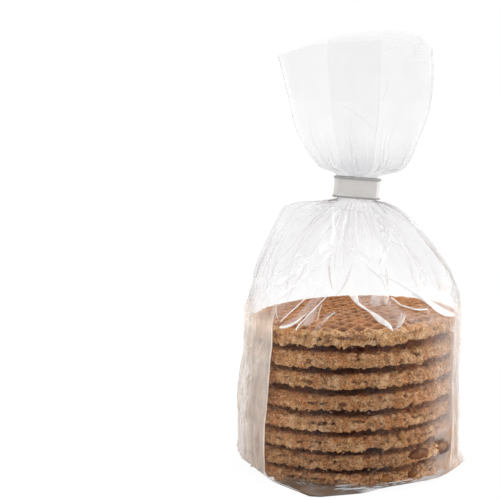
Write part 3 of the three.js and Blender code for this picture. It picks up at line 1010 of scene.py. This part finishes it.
# Front edges of the folded side gussets, from the top down: angle, height
LEFT_EDGE = [(222.6, 71.0), (222.6, 63.9), (221.2, 56.7), (220.9, 47.4), (220.7, 40.5),
             (220.5, 33.5), (219.4, 26.3), (219.1, 15.0), (219.1, 3.0)]
RIGHT_EDGE = [(332.5, 80.0), (333.5, 60.0), (331.5, 45.0), (332.0, 30.0), (330.5, 15.0),
              (330.0, 3.0)]

# Across a crease: places in half widths, and the share of its strength there
CREASE_ACROSS = np.array([-1.0, -0.85, -0.4, 0.0, 0.4, 0.8, 1.0])
CREASE_SHARP = np.array([0.0, 1.0, 1.0, 0.88, 0.8, 0.72, 0.0])  # one side sharp, one soft
LINE_STEP = 0.8  # mm between the points along a crease
# The fold under the front of the foot, right of its corner, a line of painted shade
FOOT_FOLD = [(284, 2.0, 0.1, 0.4), (292, 2.6, 0.1, 0.6), (303, 2.7, 0.1, 0.6), (313, 1.9, 0.1, 0.4)]
BOTTOM_SHARES = (0.25, 0.5, 0.75, 0.92)  # radius of the rings in the bag's flat bottom


def depth_inside(places, outline):
    """How deep flat points lie inside an outline, in mm. It is negative outside."""
    away, inside = np.full(len(places), 9.0), np.zeros(len(places), bool)
    for start, end in zip(outline, np.roll(outline, -1, axis=0)):
        edge = end - start
        share = np.clip((places - start) @ edge / (edge @ edge), 0, 1)
        away = np.minimum(away, np.linalg.norm(places - start - share[:, None] * edge, axis=1))
        spans = (start[1] > places[:, 1]) != (end[1] > places[:, 1])
        rise = edge[1] if edge[1] else 1e-9
        inside ^= spans & (places[:, 0] < start[0] + edge[0] * (places[:, 1] - start[1]) / rise)
    return np.where(inside, away, -away)


def patch_field(points):
    """How milky the outlined areas make the film at each point of its front, painted reflection in
    part.
    """
    flat = points.reshape(-1, 3)
    x, z = flat[:, 0], flat[:, 2]
    side = np.where(x < -8, 1.0, -1.0)
    along, across = 0.66 * side * x + 0.75 * z, 0.75 * x - 0.66 * side * z
    pulled = np.stack([across, 0.16 * along, 20 * side], axis=-1)
    cloud = 0.85 + 0.3 * noise(pulled, 1.5, 331) + 0.25 * noise(pulled, 4.0, 332)
    seen = flat[:, [0, 2]]
    total = np.zeros(len(flat))
    for strength, outline in MILKY_AREAS:
        outline = np.array(outline)
        low, high = outline.min(axis=0) - 1.5, outline.max(axis=0) + 1.5
        near = np.nonzero(np.all((seen > low) & (seen < high), axis=1) & (flat[:, 1] < 0))[0]
        milky = strength * fade(depth_inside(seen[near], outline), -0.45, 0.45) * cloud[near]
        total[near] = np.maximum(total[near], milky)
    return total.reshape(points.shape[:-1])


def on_bag(angle, height):
    """The point of the bag's outside at an angle and a height, in mm."""
    start = (INSIDE[0] * (height > STACK_TOP), 0, height)
    return bag.leave(start, sideways(math.radians(angle)), first=True)


def sampled(corners, half_widths, strengths):
    """A line through the corners, sampled closely and softened, with widths and strengths."""
    lengths = lengths_along(corners)
    places = np.linspace(0, lengths[-1], max(int(lengths[-1] / LINE_STEP), 6))
    line = np.stack([np.interp(places, lengths, corners[:, k]) for k in range(3)], axis=-1)
    widths, strengths = (np.interp(places, lengths, v) for v in (half_widths, strengths))
    return smoothed(line, 2), widths, strengths


def ribbon_lines(creases):
    """Each crease's centre line on the bag, with half widths and strengths."""
    lines = []
    for crease in creases:
        angles, heights, half_widths, strengths = zip(*crease)
        corners = np.array([on_bag(*place) for place in zip(angles, heights)])
        lines.append(sampled(corners, half_widths, strengths))
    return lines


def crease_push(points, lines):
    """How far the creases stand out from the film near them."""
    flat = points.reshape(-1, 3)
    total = np.zeros(len(flat))
    for line, widths, _ in lines:
        low, high = line.min(axis=0) - 6, line.max(axis=0) + 6
        near = np.nonzero(np.all((flat > low) & (flat < high), axis=1))[0]
        if not len(near):
            continue
        away = np.linalg.norm(flat[near][:, None] - line[None], axis=-1)
        closest = away.argmin(axis=1)
        ends = between(np.linspace(0, 1, len(line)), 0, 0.15, 0.85, 1)
        tent = np.clip(1 - away.min(axis=1) / (1.6 + widths[closest]), 0, 1)
        total[near] = np.maximum(total[near], 0.75 * ends[closest] * tent)
    return total.reshape(points.shape[:-1])


def right_pleat(angle, z):
    """Where the gusset's fold doubles the film beside the stack's right edge."""
    return between(angle, 333, 341, 347, 354) * between(z, 3, 9, 64, 80)


def glow_field(angle, z):
    """A faint brown veil, the crumb's own light caught in the film, left and right in front."""
    left, right = between(angle, 205, 222, 238, 264), between(angle, 272, 290, 312, 330)
    return (left + right) * fade(z, 72, 68)


def right_haze(points, angle):
    """The milkier right side, in part a painted reflection: the slanting edge, the pleat beside it,
    and low down.
    """
    z = points[..., 2]
    to_right = np.cos(np.radians(angle - 350))
    lower = fade(z, 45, 20)
    side = fade(to_right, 0.58, 0.97) * fade(z, 92, 76)
    outermost = fade(to_right, 0.88, 0.99) * fade(z, 82, 70) * (1 + 0.5 * noise(points, 4, 344))
    side = side + outermost * (1.1 + 1.4 * lower)
    pleat = right_pleat(angle, z) * (1 + 0.4 * lower)
    side = side + pleat * (1.3 + 0.6 * noise(points * [1, 1, 0.4], 3, 345))
    low_right = fade(to_right, 0.7, 0.93) * fade(z, 40, 22)
    clearer = 1 - 0.7 * fade(z, 9, 5) * fade(from_axis(points), 53, 55)
    return clearer * (0.18 * side + 0.2 * low_right)


def haze_field(points):
    """Milky veil of the film, in part painted reflection: faint, and stronger on the shoulders and
    on the right.
    """
    angle = np.degrees(np.arctan2(points[..., 1], points[..., 0])) % 360
    z = points[..., 2]
    shoulder = between(angle, 160, 185, 222, 238) * between(z, 76, 84, 112, 124)
    corner = fade(z, 7, 2.5) * fade(from_axis(points), 54, 57)
    cloud = fade(noise(points * [1, 1, 0.6], 13, 301) + 0.5 * noise(points, 5, 302), -0.3, 0.7)
    above = fade(z, 87, 98) * (0.05 + 0.03 * cloud)
    glow = 0.055 * glow_field(angle, z) * (1 + 0.4 * noise(points, 7, 346))
    veil = glow + right_haze(points, angle) + above
    return veil + (0.16 * shoulder + 0.005) * cloud + 0.22 * corner


def dry_field(points):
    """0 where syrup wets the film and makes it clear as seen from the front, 1 elsewhere."""
    dry = np.ones(points.shape[:-1])
    for index, angle, share, width, height, _ in SYRUP_SPOTS:
        if width < 6:
            continue
        middle, out = rim_point(index, angle, share)
        ahead = middle[1] - points[..., 1]
        aside = (points[..., 0] - middle[0] + 0.16 * ahead) / (0.5 * width * abs(out[1]) + 0.7)
        above = (points[..., 2] - middle[2] - 0.27 * ahead) / (0.5 * height + 0.8)
        wet = np.where(points[..., 1] < 0, fade(np.hypot(aside, above), 1.1, 0.85), 0)
        dry = np.minimum(dry, 1 - wet)
    return dry


def grey_field(points):
    """Where the slack film scatters light away: in soft streaks down the shoulders."""
    angle = np.arctan2(points[..., 1], points[..., 0])
    z = points[..., 2]
    along = np.stack([np.cos(angle) * 40, np.sin(angle) * 40, z * 0.16], axis=-1)
    streak = 0.5 + 0.6 * noise(along, 6, 321) + 0.4 * noise(along, 2.4, 322)
    front = 0.6 + 0.4 * fade(np.sin(angle), 0.3, -0.5)
    return fade(z, 78, 100) * front * np.clip(0.05 + 0.2 * streak, 0, 1)


def doubled_shaded_foot(angle):
    """Where the film at the foot lies double and brown with painted shade: from the left to the
    front corner.
    """
    return between(angle, 150, 200, 274, 290)


def foot_fields(points, turned, z):
    """Haze of the film that stands out round the foot, and painted shade on it, in fine level
    streaks.
    """
    reach = from_axis(points)
    outside, tip = fade(reach, 51.3, 52.6), fade(reach, 54.0, 57.0)
    along = np.stack([turned * 0.2, z * 1.6, 0 * z], axis=-1)
    streak = noise(along, 1.9, 341) + 0.6 * noise(along, 1.1, 342)
    streak = 2 * fade(streak, -0.35, 0.35) - 1
    double = doubled_shaded_foot(turned)
    haze = 0.06 + double * (0.8 - 0.22 * tip + 0.1 * streak)
    film_shade = np.clip(double * (1.02 - 0.1 * tip + 0.08 * streak), 0, 1)
    return haze * fade(z, 5.5, 2.8) * outside, film_shade * fade(z, 6.5, 4.5) * outside


def crumb_light_field(points, turned, z):
    """Painted light: how brown the light from the waffles makes the film's haze, along the right
    edge and in front.
    """
    edge = fade(turned, 298, 336) * (1 - 0.7 * fade(turned, 345, 355)) + 0.3 * fade(turned, 50, 25)
    crumb_light_tint = edge * (0.5 + 0.35 * fade(z, 45, 20)) * fade(z, 82, 70)
    crumb_light_tint = crumb_light_tint * (1 + 0.3 * noise(points, 5, 343))
    return np.clip(np.maximum(crumb_light_tint, glow_field(turned, z) * fade(turned, 330, 300)), 0, 1)


def film_relief(points, lines):
    """How far the film stands out: crumpled where slack, pleated at the neck, creased.

    Besides that it gives how tightly the pleats are gathered, and 1 on their ridges.
    """
    z = points[..., 2]
    steps = np.linalg.norm(np.diff(points, axis=0, prepend=points[:1]), axis=-1)
    drift = FILM_ROUND + 0.014 * noise(points, 24, 311)
    along = np.cumsum(steps, axis=0) + 3 * noise(points, 15, 312)
    climb, to_neck = fade(z, STACK_TOP + 1, 128.0), from_neck(points)
    long = facets(drift, along / 48, 21, 401)
    small = facets(drift + 0.013, along / 19, 47, 402)
    tiny = facets(drift, along / 8, 96, 403)
    slack = fade(climb, 0.0, 0.25)
    push = slack * fade(to_neck, 6, 42) * (1.5 * long + 0.5 * small + 0.14 * tiny)
    push = push + (1 - slack) * (0.18 * long + 0.16 * small + 0.09 * tiny) * fade(z, 0.5, 5)
    pleats = pleat_wave(drift, 41, 6)
    tight = fade(to_neck, 34, 14) * fade(climb, 0.5, 0.8)
    push = push - tight * 1.5 * (1 - pleats) * fade(to_neck, 3, 14)
    return push + crease_push(points, lines), tight, pleats


def film_fields(smooth, points, tight, pleats):
    """The film's looks, from its points before and after they were crumpled."""
    z = smooth[..., 2]
    turned = np.broadcast_to(FILM_DEGREES, z.shape)
    foot_haze, foot_shade = foot_fields(points, turned, z)
    haze = np.maximum(haze_field(points) + 0.06 * tight, patch_field(points)) * dry_field(points)
    # painted shade in the doubled pleat beside the stack's right edge
    pleat_shade = right_pleat(turned, z) * (0.3 + 0.12 * fade(z, 45, 20))
    return {
        "haze": haze + foot_haze,
        # painted highlights on the neck pleats' ridges, painted shade in their valleys
        "crease": 0.22 * tight * fade(pleats, 0.8, 0.97),
        "dim": grey_field(points) + 0.3 * tight * (1 - pleats) * fade(from_neck(smooth), 40, 14),
        "film_shade": np.maximum(foot_shade, pleat_shade),
        "crumb_light_tint": crumb_light_field(points, turned, z),
    }


def make_film_bag(material, lines):
    """The bag below the band: bottom, sides and gathered shoulders in one sheet."""
    body = tucked(pinched(taut(body_rows())))
    smooth = np.concatenate([body, shoulder_rows(body[-1])])
    push, tight, pleats = film_relief(smooth, lines)
    points = smooth + push[..., None] * outward(smooth)
    points[..., 2] = np.maximum(points[..., 2], 0.1)
    fields = film_fields(smooth, points, tight, pleats)

    bottom = np.array([points[0] * [share, share, 1] for share in BOTTOM_SHARES])
    # the flat bottom lies under the stack: milky, with painted shade all over
    full = np.ones(bottom.shape[:2])
    bottom_haze = 0.8 * full
    bottom_haze[-1] = 0.3 + 0.6 * doubled_shaded_foot(FILM_DEGREES)
    below = {"haze": bottom_haze, "film_shade": full}
    attributes = {
        label: np.concatenate([below.get(label, 0 * full), field])
        for label, field in fields.items()
    }
    grid = np.concatenate([bottom, points])
    finish_piece("film_bag", grid, material, attributes, replaces=["bag"])
    return Outside(grid, grid_faces(*grid.shape[:2]))


def ribbon_grid(line, widths, surface, middle):
    """A ribbon of points laid along a line on a surface, arched away from its middle."""
    found = [surface.nearest(point) for point in line]
    places, normals = (np.array(part) for part in zip(*found))
    inward = np.sum(normals * (places - middle), axis=1) < 0
    normals[inward] *= -1
    places, normals = smoothed(places, 2), smoothed(normals)
    normals /= np.linalg.norm(normals, axis=1, keepdims=True)
    side = np.cross(normals, np.gradient(places, axis=0))
    side /= np.maximum(np.linalg.norm(side, axis=1, keepdims=True), 1e-6)
    reach = (1.15 * widths + 0.12)[:, None, None] * CREASE_ACROSS[:, None]
    arch = (0.12 + 0.2 * (1 - CREASE_ACROSS**2))[:, None]
    grid = places[:, None] + reach * side[:, None] + arch * normals[:, None]
    grid[..., 2] = np.maximum(grid[..., 2], 0.15)
    return grid


def make_creases(name, material, surface, lines, middle=INSIDE):
    """The pressed creases as thin ribbons that follow the film, weak at both ends."""
    gather = Gather()
    for line, widths, strengths in lines:
        values = CREASE_SHARP * strengths[:, None]
        values[[0, -1]] *= 0.2
        gather.add(ribbon_grid(line, widths, surface, middle), values=values)
    gather.piece(name, material, "film")


def steady_crease(angle, turn, height, rise, wide, strengths):
    """A crease of even width that turns and rises evenly, and stays off the table."""
    steps = np.linspace(0, 1, len(strengths))
    heights = np.maximum(height + rise * steps, 0.4)
    return [(angle + turn * s, z, wide, k) for s, z, k in zip(steps, heights, strengths)]


def back_creases():
    """Folds pulled from the shoulders to the rim, on the sides the front ones do not reach."""
    random = np.random.default_rng(91)
    steps = np.linspace(0, 1, 7)
    white, grey = [], []
    # the white folds are painted highlights, the grey ones below painted shade
    for angle in (352, 9, 24, 38, 49, 66, 83, 104, 117, 131, 149, 158, 171):
        start, bend = angle + random.uniform(-4, 4), random.uniform(-17, 17)
        high, low = random.uniform(86, 104), random.uniform(70, 75)
        wide, strong = random.uniform(0.1, 0.9), random.uniform(0.4, 0.7)
        angles, heights = start + bend * steps**1.5, high - (high - low) * steps
        half_widths = 0.12 + wide * np.sin(math.pi * steps) ** 2
        strengths = strong * (0.15 + 0.85 * fade(steps, 0.2, 0.8))
        white.append(list(zip(angles, heights, half_widths, strengths)))
    for _ in range(8):
        angle, high = random.uniform(0, 180), random.uniform(112, 124)
        bend = random.uniform(-14, 14)
        grey.append(steady_crease(angle, bend, high, 86 - high, 0.2, np.full(7, 0.15)))
    return white, grey


def foot_creases():
    """Streaks in the doubled film along the front of the foot, white and dark by turns: painted
    highlights and painted shade.
    """
    random = np.random.default_rng(94)
    white, dark = [], []
    for count in range(40):
        start, length = random.uniform(222, 284), random.uniform(7, 26)
        height, rise = random.uniform(0.5, 4.6), random.uniform(-1.4, 1.4)
        wide, strong = random.uniform(0.03, 0.16), random.uniform(0.5, 0.9)
        strengths = strong * np.sin(0.1 + 2.9 * np.linspace(0, 1, 7))
        streak = steady_crease(start, length, height, rise, wide, strengths)
        (white if count % 5 < 2 else dark).append(streak)
    dark.append(FOOT_FOLD)
    return white, dark


def neck_creases():
    """Fine pleats that run out from under the band, on all sides, drawn in painted shade."""
    random = np.random.default_rng(92)
    lines = []
    for count in range(34):
        angle = count * 360 / 34 + random.uniform(-4, 4)
        high, drop = random.uniform(123.5, 126.0), random.uniform(3, 16)
        bend, strengths = random.uniform(-6, 6), np.linspace(0.4, 0.08, 6)
        lines.append(steady_crease(angle, bend, high, -drop, 0.12, strengths))
    return lines


# Axes aslant to the pack's own, so that the gussets' wrinkles follow no edge
TURNED_AXES = np.array([[0.77, -0.51, 0.38], [0.18, 0.76, 0.62], [-0.61, -0.41, 0.68]])


def gusset_sheet(surface, edge, back):
    """A crinkled sheet just outside the film: from the angle back to a front fold.

    Besides its points it gives the share of the way to the fold for each column, and how
    far inside its two edges each column is.
    """
    knots = np.array(edge)[::-1]
    share = np.linspace(0, 1, 120)
    grid = []
    for z in np.arange(2.0, 84.0, 0.9):
        angles = back + (np.interp(z, knots[:, 1], knots[:, 0]) - back) * share
        ways = [sideways(angle) for angle in np.radians(angles)]
        grid.append([surface.leave((0, 0, z), way) + 0.5 * way for way in ways])
    grid = np.array(grid)
    out = grid * [1, 1, 0] / from_axis(grid)[..., None]
    turns = share * 0.3 + 0.006 * noise(grid, 9, 500)
    rise = grid[..., 2] + 2 * noise(grid, 10, 501)
    crinkle = 0.8 * facets(turns, rise / 15, 60, 502) + 0.45 * facets(turns, rise / 7, 130, 503)
    inside = between(share, 0.0, 0.1, 0.94, 1.0)
    return grid + out * (crinkle * inside)[..., None], share, inside


def gusset_wrinkles(grid):
    """Painted highlights: bright and thin lines in the gusset's milky film, aslant to its edges."""
    warp = np.stack([noise(grid, 6, seed) for seed in (509, 511, 512)], axis=-1)
    wrinkle = (grid * [1, 1, 0.5]) @ TURNED_AXES + 2.2 * warp
    bright = 0
    for size, width in ((4.4, 0.12), (7.4, 0.08)):
        ridge = np.abs(noise(wrinkle, size, 507) + 0.5 * noise(wrinkle, size / 2, 513))
        bright = np.maximum(bright, fade(ridge, width, 0.0))
    bright = bright * fade(noise(wrinkle, 6, 514), -0.35, 0.25)
    valley = np.abs(noise(wrinkle, 5.2, 508) + 0.4 * noise(wrinkle, 2.3, 515))
    return bright, fade(valley, 0.22, 0.0)


def make_gusset(name, material, surface, edge, back, level, rim):
    """A folded side gusset: two more layers of milky film, crinkled away from its edge.

    edge gives the front fold, back the angle where it ends; level is how milky it is and
    rim how bright the painted highlight on the pressed fold along its front edge is.
    """
    grid, share, inside = gusset_sheet(surface, edge, back)
    bright, thin = gusset_wrinkles(grid)
    z = grid[..., 2]
    streaks = noise(grid * [1, 1, 0.5], 2.4, 504) + 0.8 * noise(grid * [1, 1, 0.7], 5.0, 505)
    slack = 0.25 + 0.75 * fade(share, 0.9, 0.55)
    veil = level + 0.06 * streaks + 0.12 * noise(grid * [1, 1, 0.8], 9, 506) - 0.24 * thin * slack
    rim = rim * (0.8 + 0.4 * noise(grid * [0, 0, 1], 7, 510))
    # painted highlights: the pressed front fold and the bright wrinkles
    crease = np.maximum(rim * fade(share, 0.98, 0.992), 0.5 * bright * slack * inside)
    attributes = {
        "haze": veil * fade(z, 86, 70) * fade(share, 0.0, 0.2),
        "crease": crease * fade(z, 80, 68),
    }
    finish_piece(name, grid, material, attributes, closed=False)


# The film's way round the pouch, as (share of the half width, layer from -1 at the front to
# 1 at the back): front panel, right gusset, back panel, left gusset. Both gussets are folded
# in past the middle, so that the film lies six deep between their folds.
POUCH_WAY = [
    (-1.0, -0.3), (-0.94, -1.0), (0.94, -1.0), (1.0, -0.3),
    (0.94, 0.1), (-0.37, 0.1), (-0.39, 0.25), (-0.37, 0.4), (0.94, 0.4),
    (1.0, 0.5), (0.94, 1.0), (-0.94, 1.0), (-1.0, 0.5),
    (-0.94, -0.2), (0.27, -0.2), (0.285, -0.35), (0.27, -0.5), (-0.94, -0.5),
]
# Creases of the front panel: a ribbon along (x, z, half width, strength)
POUCH_CREASES = [
    [(-5.6, 171.9, 0.06, 0.1), (-0.6, 169.7, 0.12, 0.22), (4.3, 166.0, 0.12, 0.22),
     (8.0, 163.0, 0.12, 0.2), (10.5, 160.6, 0.06, 0.1)],
    [(15.4, 198.0, 0.06, 0.1), (19.2, 198.0, 0.1, 0.16), (22.9, 199.5, 0.06, 0.1)],
    [(26.6, 194.7, 0.06, 0.12), (30.5, 195.3, 0.1, 0.16), (34.1, 195.0, 0.06, 0.1)],
    [(16.7, 185.0, 0.4, 0.05), (16.1, 178.3, 0.5, 0.08), (13.6, 172.2, 0.3, 0.05)],
]
# Height of the mouth by share of the half width, for the back layer, and how much lower
# the front layer ends.
MOUTH_SHARES = [-1.0, -0.69, -0.4, -0.16, 0.21, 0.61, 0.84, 1.0]
MOUTH_BACK = [194.9, 199.3, 203.0, 205.3, 206.8, 207.0, 205.0, 198.0]
FRONT_SHARES = [-1.0, -0.64, -0.43, -0.1, 0.28, 0.38, 0.57, 0.75, 0.9, 1.0]
FRONT_DROP = [0.0, 1.0, 2.6, 4.8, 5.0, 3.4, 4.7, 6.6, 3.0, 0.0]
POUCH_ROWS, POUCH_COLUMNS = 84, 520
POUCH_LOW = NECK[2] + BAND_HEIGHT / 2  # where the pouch leaves the band
POUCH_LEVELS = np.linspace(POUCH_LOW + 1.6, 194, 60)  # heights where the outline is taken
# Half depth of the pouch by the share of its height
POUCH_DEPTHS = ([0, 0.05, 0.15, 0.4, 0.7, 1.0], [1.8, 2.8, 4.4, 6.2, 6.9, 6.4])
POUCH_FRONT = -7.0  # y of the lines cast onto the front panel
BEHIND_POUCH = np.array([3.3, 400.0, 175.0])  # the panel's folds arch away from here


def pouch_outline():
    """Left and right edge of the pouch at each of its levels."""
    starts = [(NECK[0], 0, z) for z in POUCH_LEVELS]
    return np.array([[bag.leave(s, (way, 0, 0))[0] for way in (-1, 1)] for s in starts])


def pouch_way():
    """Share of the half width and layer of each column of the pouch's film."""
    way = np.array(POUCH_WAY + POUCH_WAY[:1])
    lengths = lengths_along(way * [34, 5])
    places = np.arange(POUCH_COLUMNS) / POUCH_COLUMNS * lengths[-1]
    return np.interp(places, lengths, way[:, 0]), np.interp(places, lengths, way[:, 1])


def pouch_sheet(share_x, layer, outline):
    """The smooth layers of the pouch, rising from inside the band to the slanting mouth."""
    top = np.interp(share_x, MOUTH_SHARES, MOUTH_BACK)
    top = top - fade(layer, 0.9, -0.9) * np.interp(share_x, FRONT_SHARES, FRONT_DROP)
    bulge = np.sqrt(np.clip(1.02 - share_x**2, 0.0, 1))
    neck_x = NECK_HALF[0] * share_x
    neck_y = NECK_HALF[1] * layer * bulge
    neck_z = POUCH_LOW - 1.5 - neck_x * math.tan(BAND_TILT)
    rows = []
    for share in (np.arange(POUCH_ROWS) / (POUCH_ROWS - 1)) ** 1.3:
        z = neck_z + (top - neck_z) * share
        left, right = (np.interp(z, POUCH_LEVELS, edge) for edge in outline.T)
        half = np.where(share_x < 0, NECK[0] - left, right - NECK[0])
        y = np.interp(share, *POUCH_DEPTHS) * layer * (0.2 + 0.8 * bulge)
        blend = fade(z, POUCH_LOW - 0.2, POUCH_LOW + 2.2)
        x = neck_x * (1 - blend) + half * share_x * blend
        y = (NECK[1] + neck_y) * (1 - blend) + y * blend
        rows.append(np.stack([NECK[0] + x, y, z], axis=-1))
    return np.array(rows)


def pleated_pouch(points, share_x):
    """Pleats the pouch's points, crumples its right corner, and gives the film's looks, with
    painted light and shade.
    """
    turns = np.arange(POUCH_COLUMNS) / POUCH_COLUMNS
    height = points[..., 2] - POUCH_LOW
    flat = np.stack([points[..., 0], turns * 330 + 0 * height, points[..., 2]], axis=-1)
    drift = turns + 0.004 * noise(flat, 20, 350) + 0.003 * noise(flat, 7, 352)
    pleats, broad = pleat_wave(drift, 89, 8), pleat_wave(drift + 0.3, 37, 9)
    planes = facets(drift, (height + 2 * noise(flat, 14, 355)) / 24, 31, 356)
    fan = fade(height, 0.3, 4) * fade(1 - np.abs(share_x), 0.0, 0.1)
    near, wide = fade(height, 26, 2), fade(height, 62, 8)
    sway = 1.1 * near * (pleats - 0.5) + 1.2 * wide * (broad - 0.5) + 0.45 * planes
    points[..., 1] += fan * sway + fan * 0.5 * noise(flat, 18, 351)
    points[..., 0] += fan * near * 0.7 * (broad - 0.5)
    corner = fade(points[..., 0], NECK[0] + 22, NECK[0] + 29) * fade(height, 50, 60)
    crumple = facets(turns, height / 4.5, 70, 359)
    points[..., 1] += corner * 1.5 * crumple
    points[..., 2] += corner * 0.9 * facets(turns, height / 4.0, 66, 360)
    # painted highlights on the pleats' ridges and on one side of the crumple's facets
    crease = (0.12 * fade(height, 14, 1) + 0.03) * fade(pleats, 0.75, 0.97) * near
    crease[-1] = np.maximum(crease[-1], 0.06)
    crease = np.maximum(crease, 0.25 * corner * fade(crumple, 0.5, 0.9))
    haze = 0.004 + 0.05 * fade(height, 12, 0) + 0.012 * fade(noise(flat, 20, 353), -0.2, 0.6)
    # painted shade in the pleats' valleys and on the other side of the crumple's facets
    dim = 0.24 * near * (1 - pleats) * fade(height, 24, 4)
    dim = dim + 0.04 * fade(noise(flat, 9, 354), 0.0, 0.7)
    dim = dim + 0.024 + 0.3 * corner * fade(crumple, -0.4, -0.9)
    return {"haze": haze, "crease": crease, "dim": dim}


def pouch_lines(outline):
    """Creases of the front panel: those of the photo, and pleats that rise from the band."""
    lines = []
    for crease in POUCH_CREASES:
        x, z, half_widths, strengths = np.array(crease).T
        corners = np.stack([x, 0 * x + POUCH_FRONT, z], axis=-1)
        lines.append(sampled(corners, half_widths, strengths))
    random = np.random.default_rng(93)
    for _ in range(30):
        share, reach = random.uniform(-0.9, 0.9), random.uniform(7, 30)
        z = POUCH_LOW + np.linspace(0.6, reach, 8)
        left, right = (np.interp(z, POUCH_LEVELS, edge) for edge in outline.T)
        sway = 1 + 0.08 * np.sin(np.linspace(0, 3, 8) + 6 * share)
        x = (left + right) / 2 + (right - left) / 2 * share * sway
        corners = np.stack([x, 0 * z + POUCH_FRONT, z], axis=-1)
        fading = np.linspace(random.uniform(0.25, 0.6), 0.02, 8)
        lines.append(sampled(corners, np.full(8, 0.1), fading))
    return lines


def make_film_pouch(material, fold):
    """The fanned top of the bag, above the band: pleated layers with an open mouth."""
    share_x, layer = pouch_way()
    outline = pouch_outline()
    points = pouch_sheet(share_x, layer, outline)
    attributes = pleated_pouch(points, share_x)
    finish_piece("film_pouch", points, material, attributes)
    front = points[:, (layer < -0.9) & (np.abs(share_x) < 0.93)]
    panel = Outside(front, grid_faces(*front.shape[:2], closed=False))
    make_creases("film_pouch_shade_folds", fold, panel, pouch_lines(outline), BEHIND_POUCH)


# ---------------------------------------------------------------- scene


def make_camera():
    """The camera at the photograph's place and angle."""
    data = bpy.data.cameras.new("camera")
    data.lens = CAMERA_LENS
    data.sensor_width = 36
    camera = add_object("camera", data)
    camera.location = Vector(CAMERA_PLACE) * MM
    camera.rotation_euler = (math.radians(90 - CAMERA_PITCH), 0, 0)
    bpy.context.scene.camera = camera


def make_light(name, place, size, radiance):
    """A soft box aimed at the pack."""
    data = bpy.data.lights.new(name, "AREA")
    data.shape = "RECTANGLE"
    data.size, data.size_y = size
    data.energy = radiance * math.pi * size[0] * size[1]
    light = add_object(name, data)
    light.location = place
    aim = Vector((0, 0, 0.06)) - Vector(place)
    light.rotation_euler = aim.to_track_quat("-Z", "Y").to_euler()


def studio_world():
    """White surroundings, dimmer on the front side, where the photographer's room is."""
    world = bpy.data.worlds.new("studio")
    n = Nodes(world)
    seen = n.add("ShaderNodeLightPath").outputs["Is Camera Ray"]
    way = n.add("ShaderNodeTexCoord").outputs["Generated"]
    depth = n.add("ShaderNodeSeparateXYZ", {0: way}).outputs["Y"]
    around = n.span(depth, -1.0, 0.15, 0.03, 0.9)
    strength = n.math("MAXIMUM", around, seen)
    back = n.add("ShaderNodeBackground", {"Color": colour(1, 1, 1), "Strength": strength})
    n.output(back.outputs[0], "ShaderNodeOutputWorld")
    return world


def make_studio():
    """Plain soft studio: pale floor, white surroundings and soft boxes."""
    mesh = bpy.data.meshes.new("floor")
    corners = [(x * FLOOR_HALF, y * FLOOR_HALF, 0) for x, y in ((-1, -1), (1, -1), (1, 1), (-1, 1))]
    mesh.from_pydata(corners, [], [(0, 1, 2, 3)])
    mesh.materials.append(floor_material())
    add_object("floor", mesh)
    for light in SOFT_BOXES:
        make_light(*light)
    scene = bpy.context.scene
    scene.world = studio_world()
    scene.view_settings.view_transform = "Standard"
    scene.cycles.transparent_max_bounces = 32
    scene.cycles.max_bounces = 10


def make_film():
    """The film bag, its creases white, dark and grey, its gussets and its pouch."""
    film = film_material()
    white_behind, grey_behind = back_creases()
    highlight_foot_streaks, shaded_foot_streaks = foot_creases()
    white = ribbon_lines(WHITE_HIGHLIGHT_CREASES + white_behind)
    grey = ribbon_lines(GREY_SHADE_CREASES + grey_behind)
    surface = make_film_bag(film, white + grey)
    white += ribbon_lines(highlight_foot_streaks)
    grey += ribbon_lines(neck_creases())
    dark = ribbon_lines(shaded_foot_streaks)
    grey_fold = fold_material("film_shadow", colour(0.68, 0.68, 0.69))
    # white ribbons are painted highlights; the dark and grey ones painted shade
    for name, fold, lines in (
        ("film_crease_highlights", fold_material("film_fold_highlight", colour(0.96, 0.98, 1.0)), white),
        # painted shade: dark brown streaks where the shaded underside shows through the foot
        ("film_shade_streaks", fold_material("film_dark_shade", colour(0.13, 0.085, 0.06)), dark),
        ("film_shade_folds", grey_fold, grey),
    ):
        make_creases(name, fold, surface, lines)
    # the doubled film is tinted with painted light, the waffles' brown coming through; its
    # milkiness is partly painted reflection
    double = film_material("film_double", colour(0.96, 0.875, 0.795))
    make_gusset("film_gusset_left", double, surface, LEFT_EDGE, 152, 0.54, 0.4)
    make_gusset("film_gusset_right", double, surface, RIGHT_EDGE, 388, 0.2, 0.25)
    make_film_pouch(film, grey_fold)


def make_contents():
    """The waffles, and the syrup, crumbs and sugar on their rims."""
    crumb = waffle_material()
    for index in range(len(WAFFLES)):
        make_waffle(index, crumb)
    make_syrup(syrup_material())
    make_crumbs(crumb, sugar_and_glint_material())


make_camera()
make_studio()
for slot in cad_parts["clip"].material_slots:
    slot.material = band_material()
make_contents()
make_film()
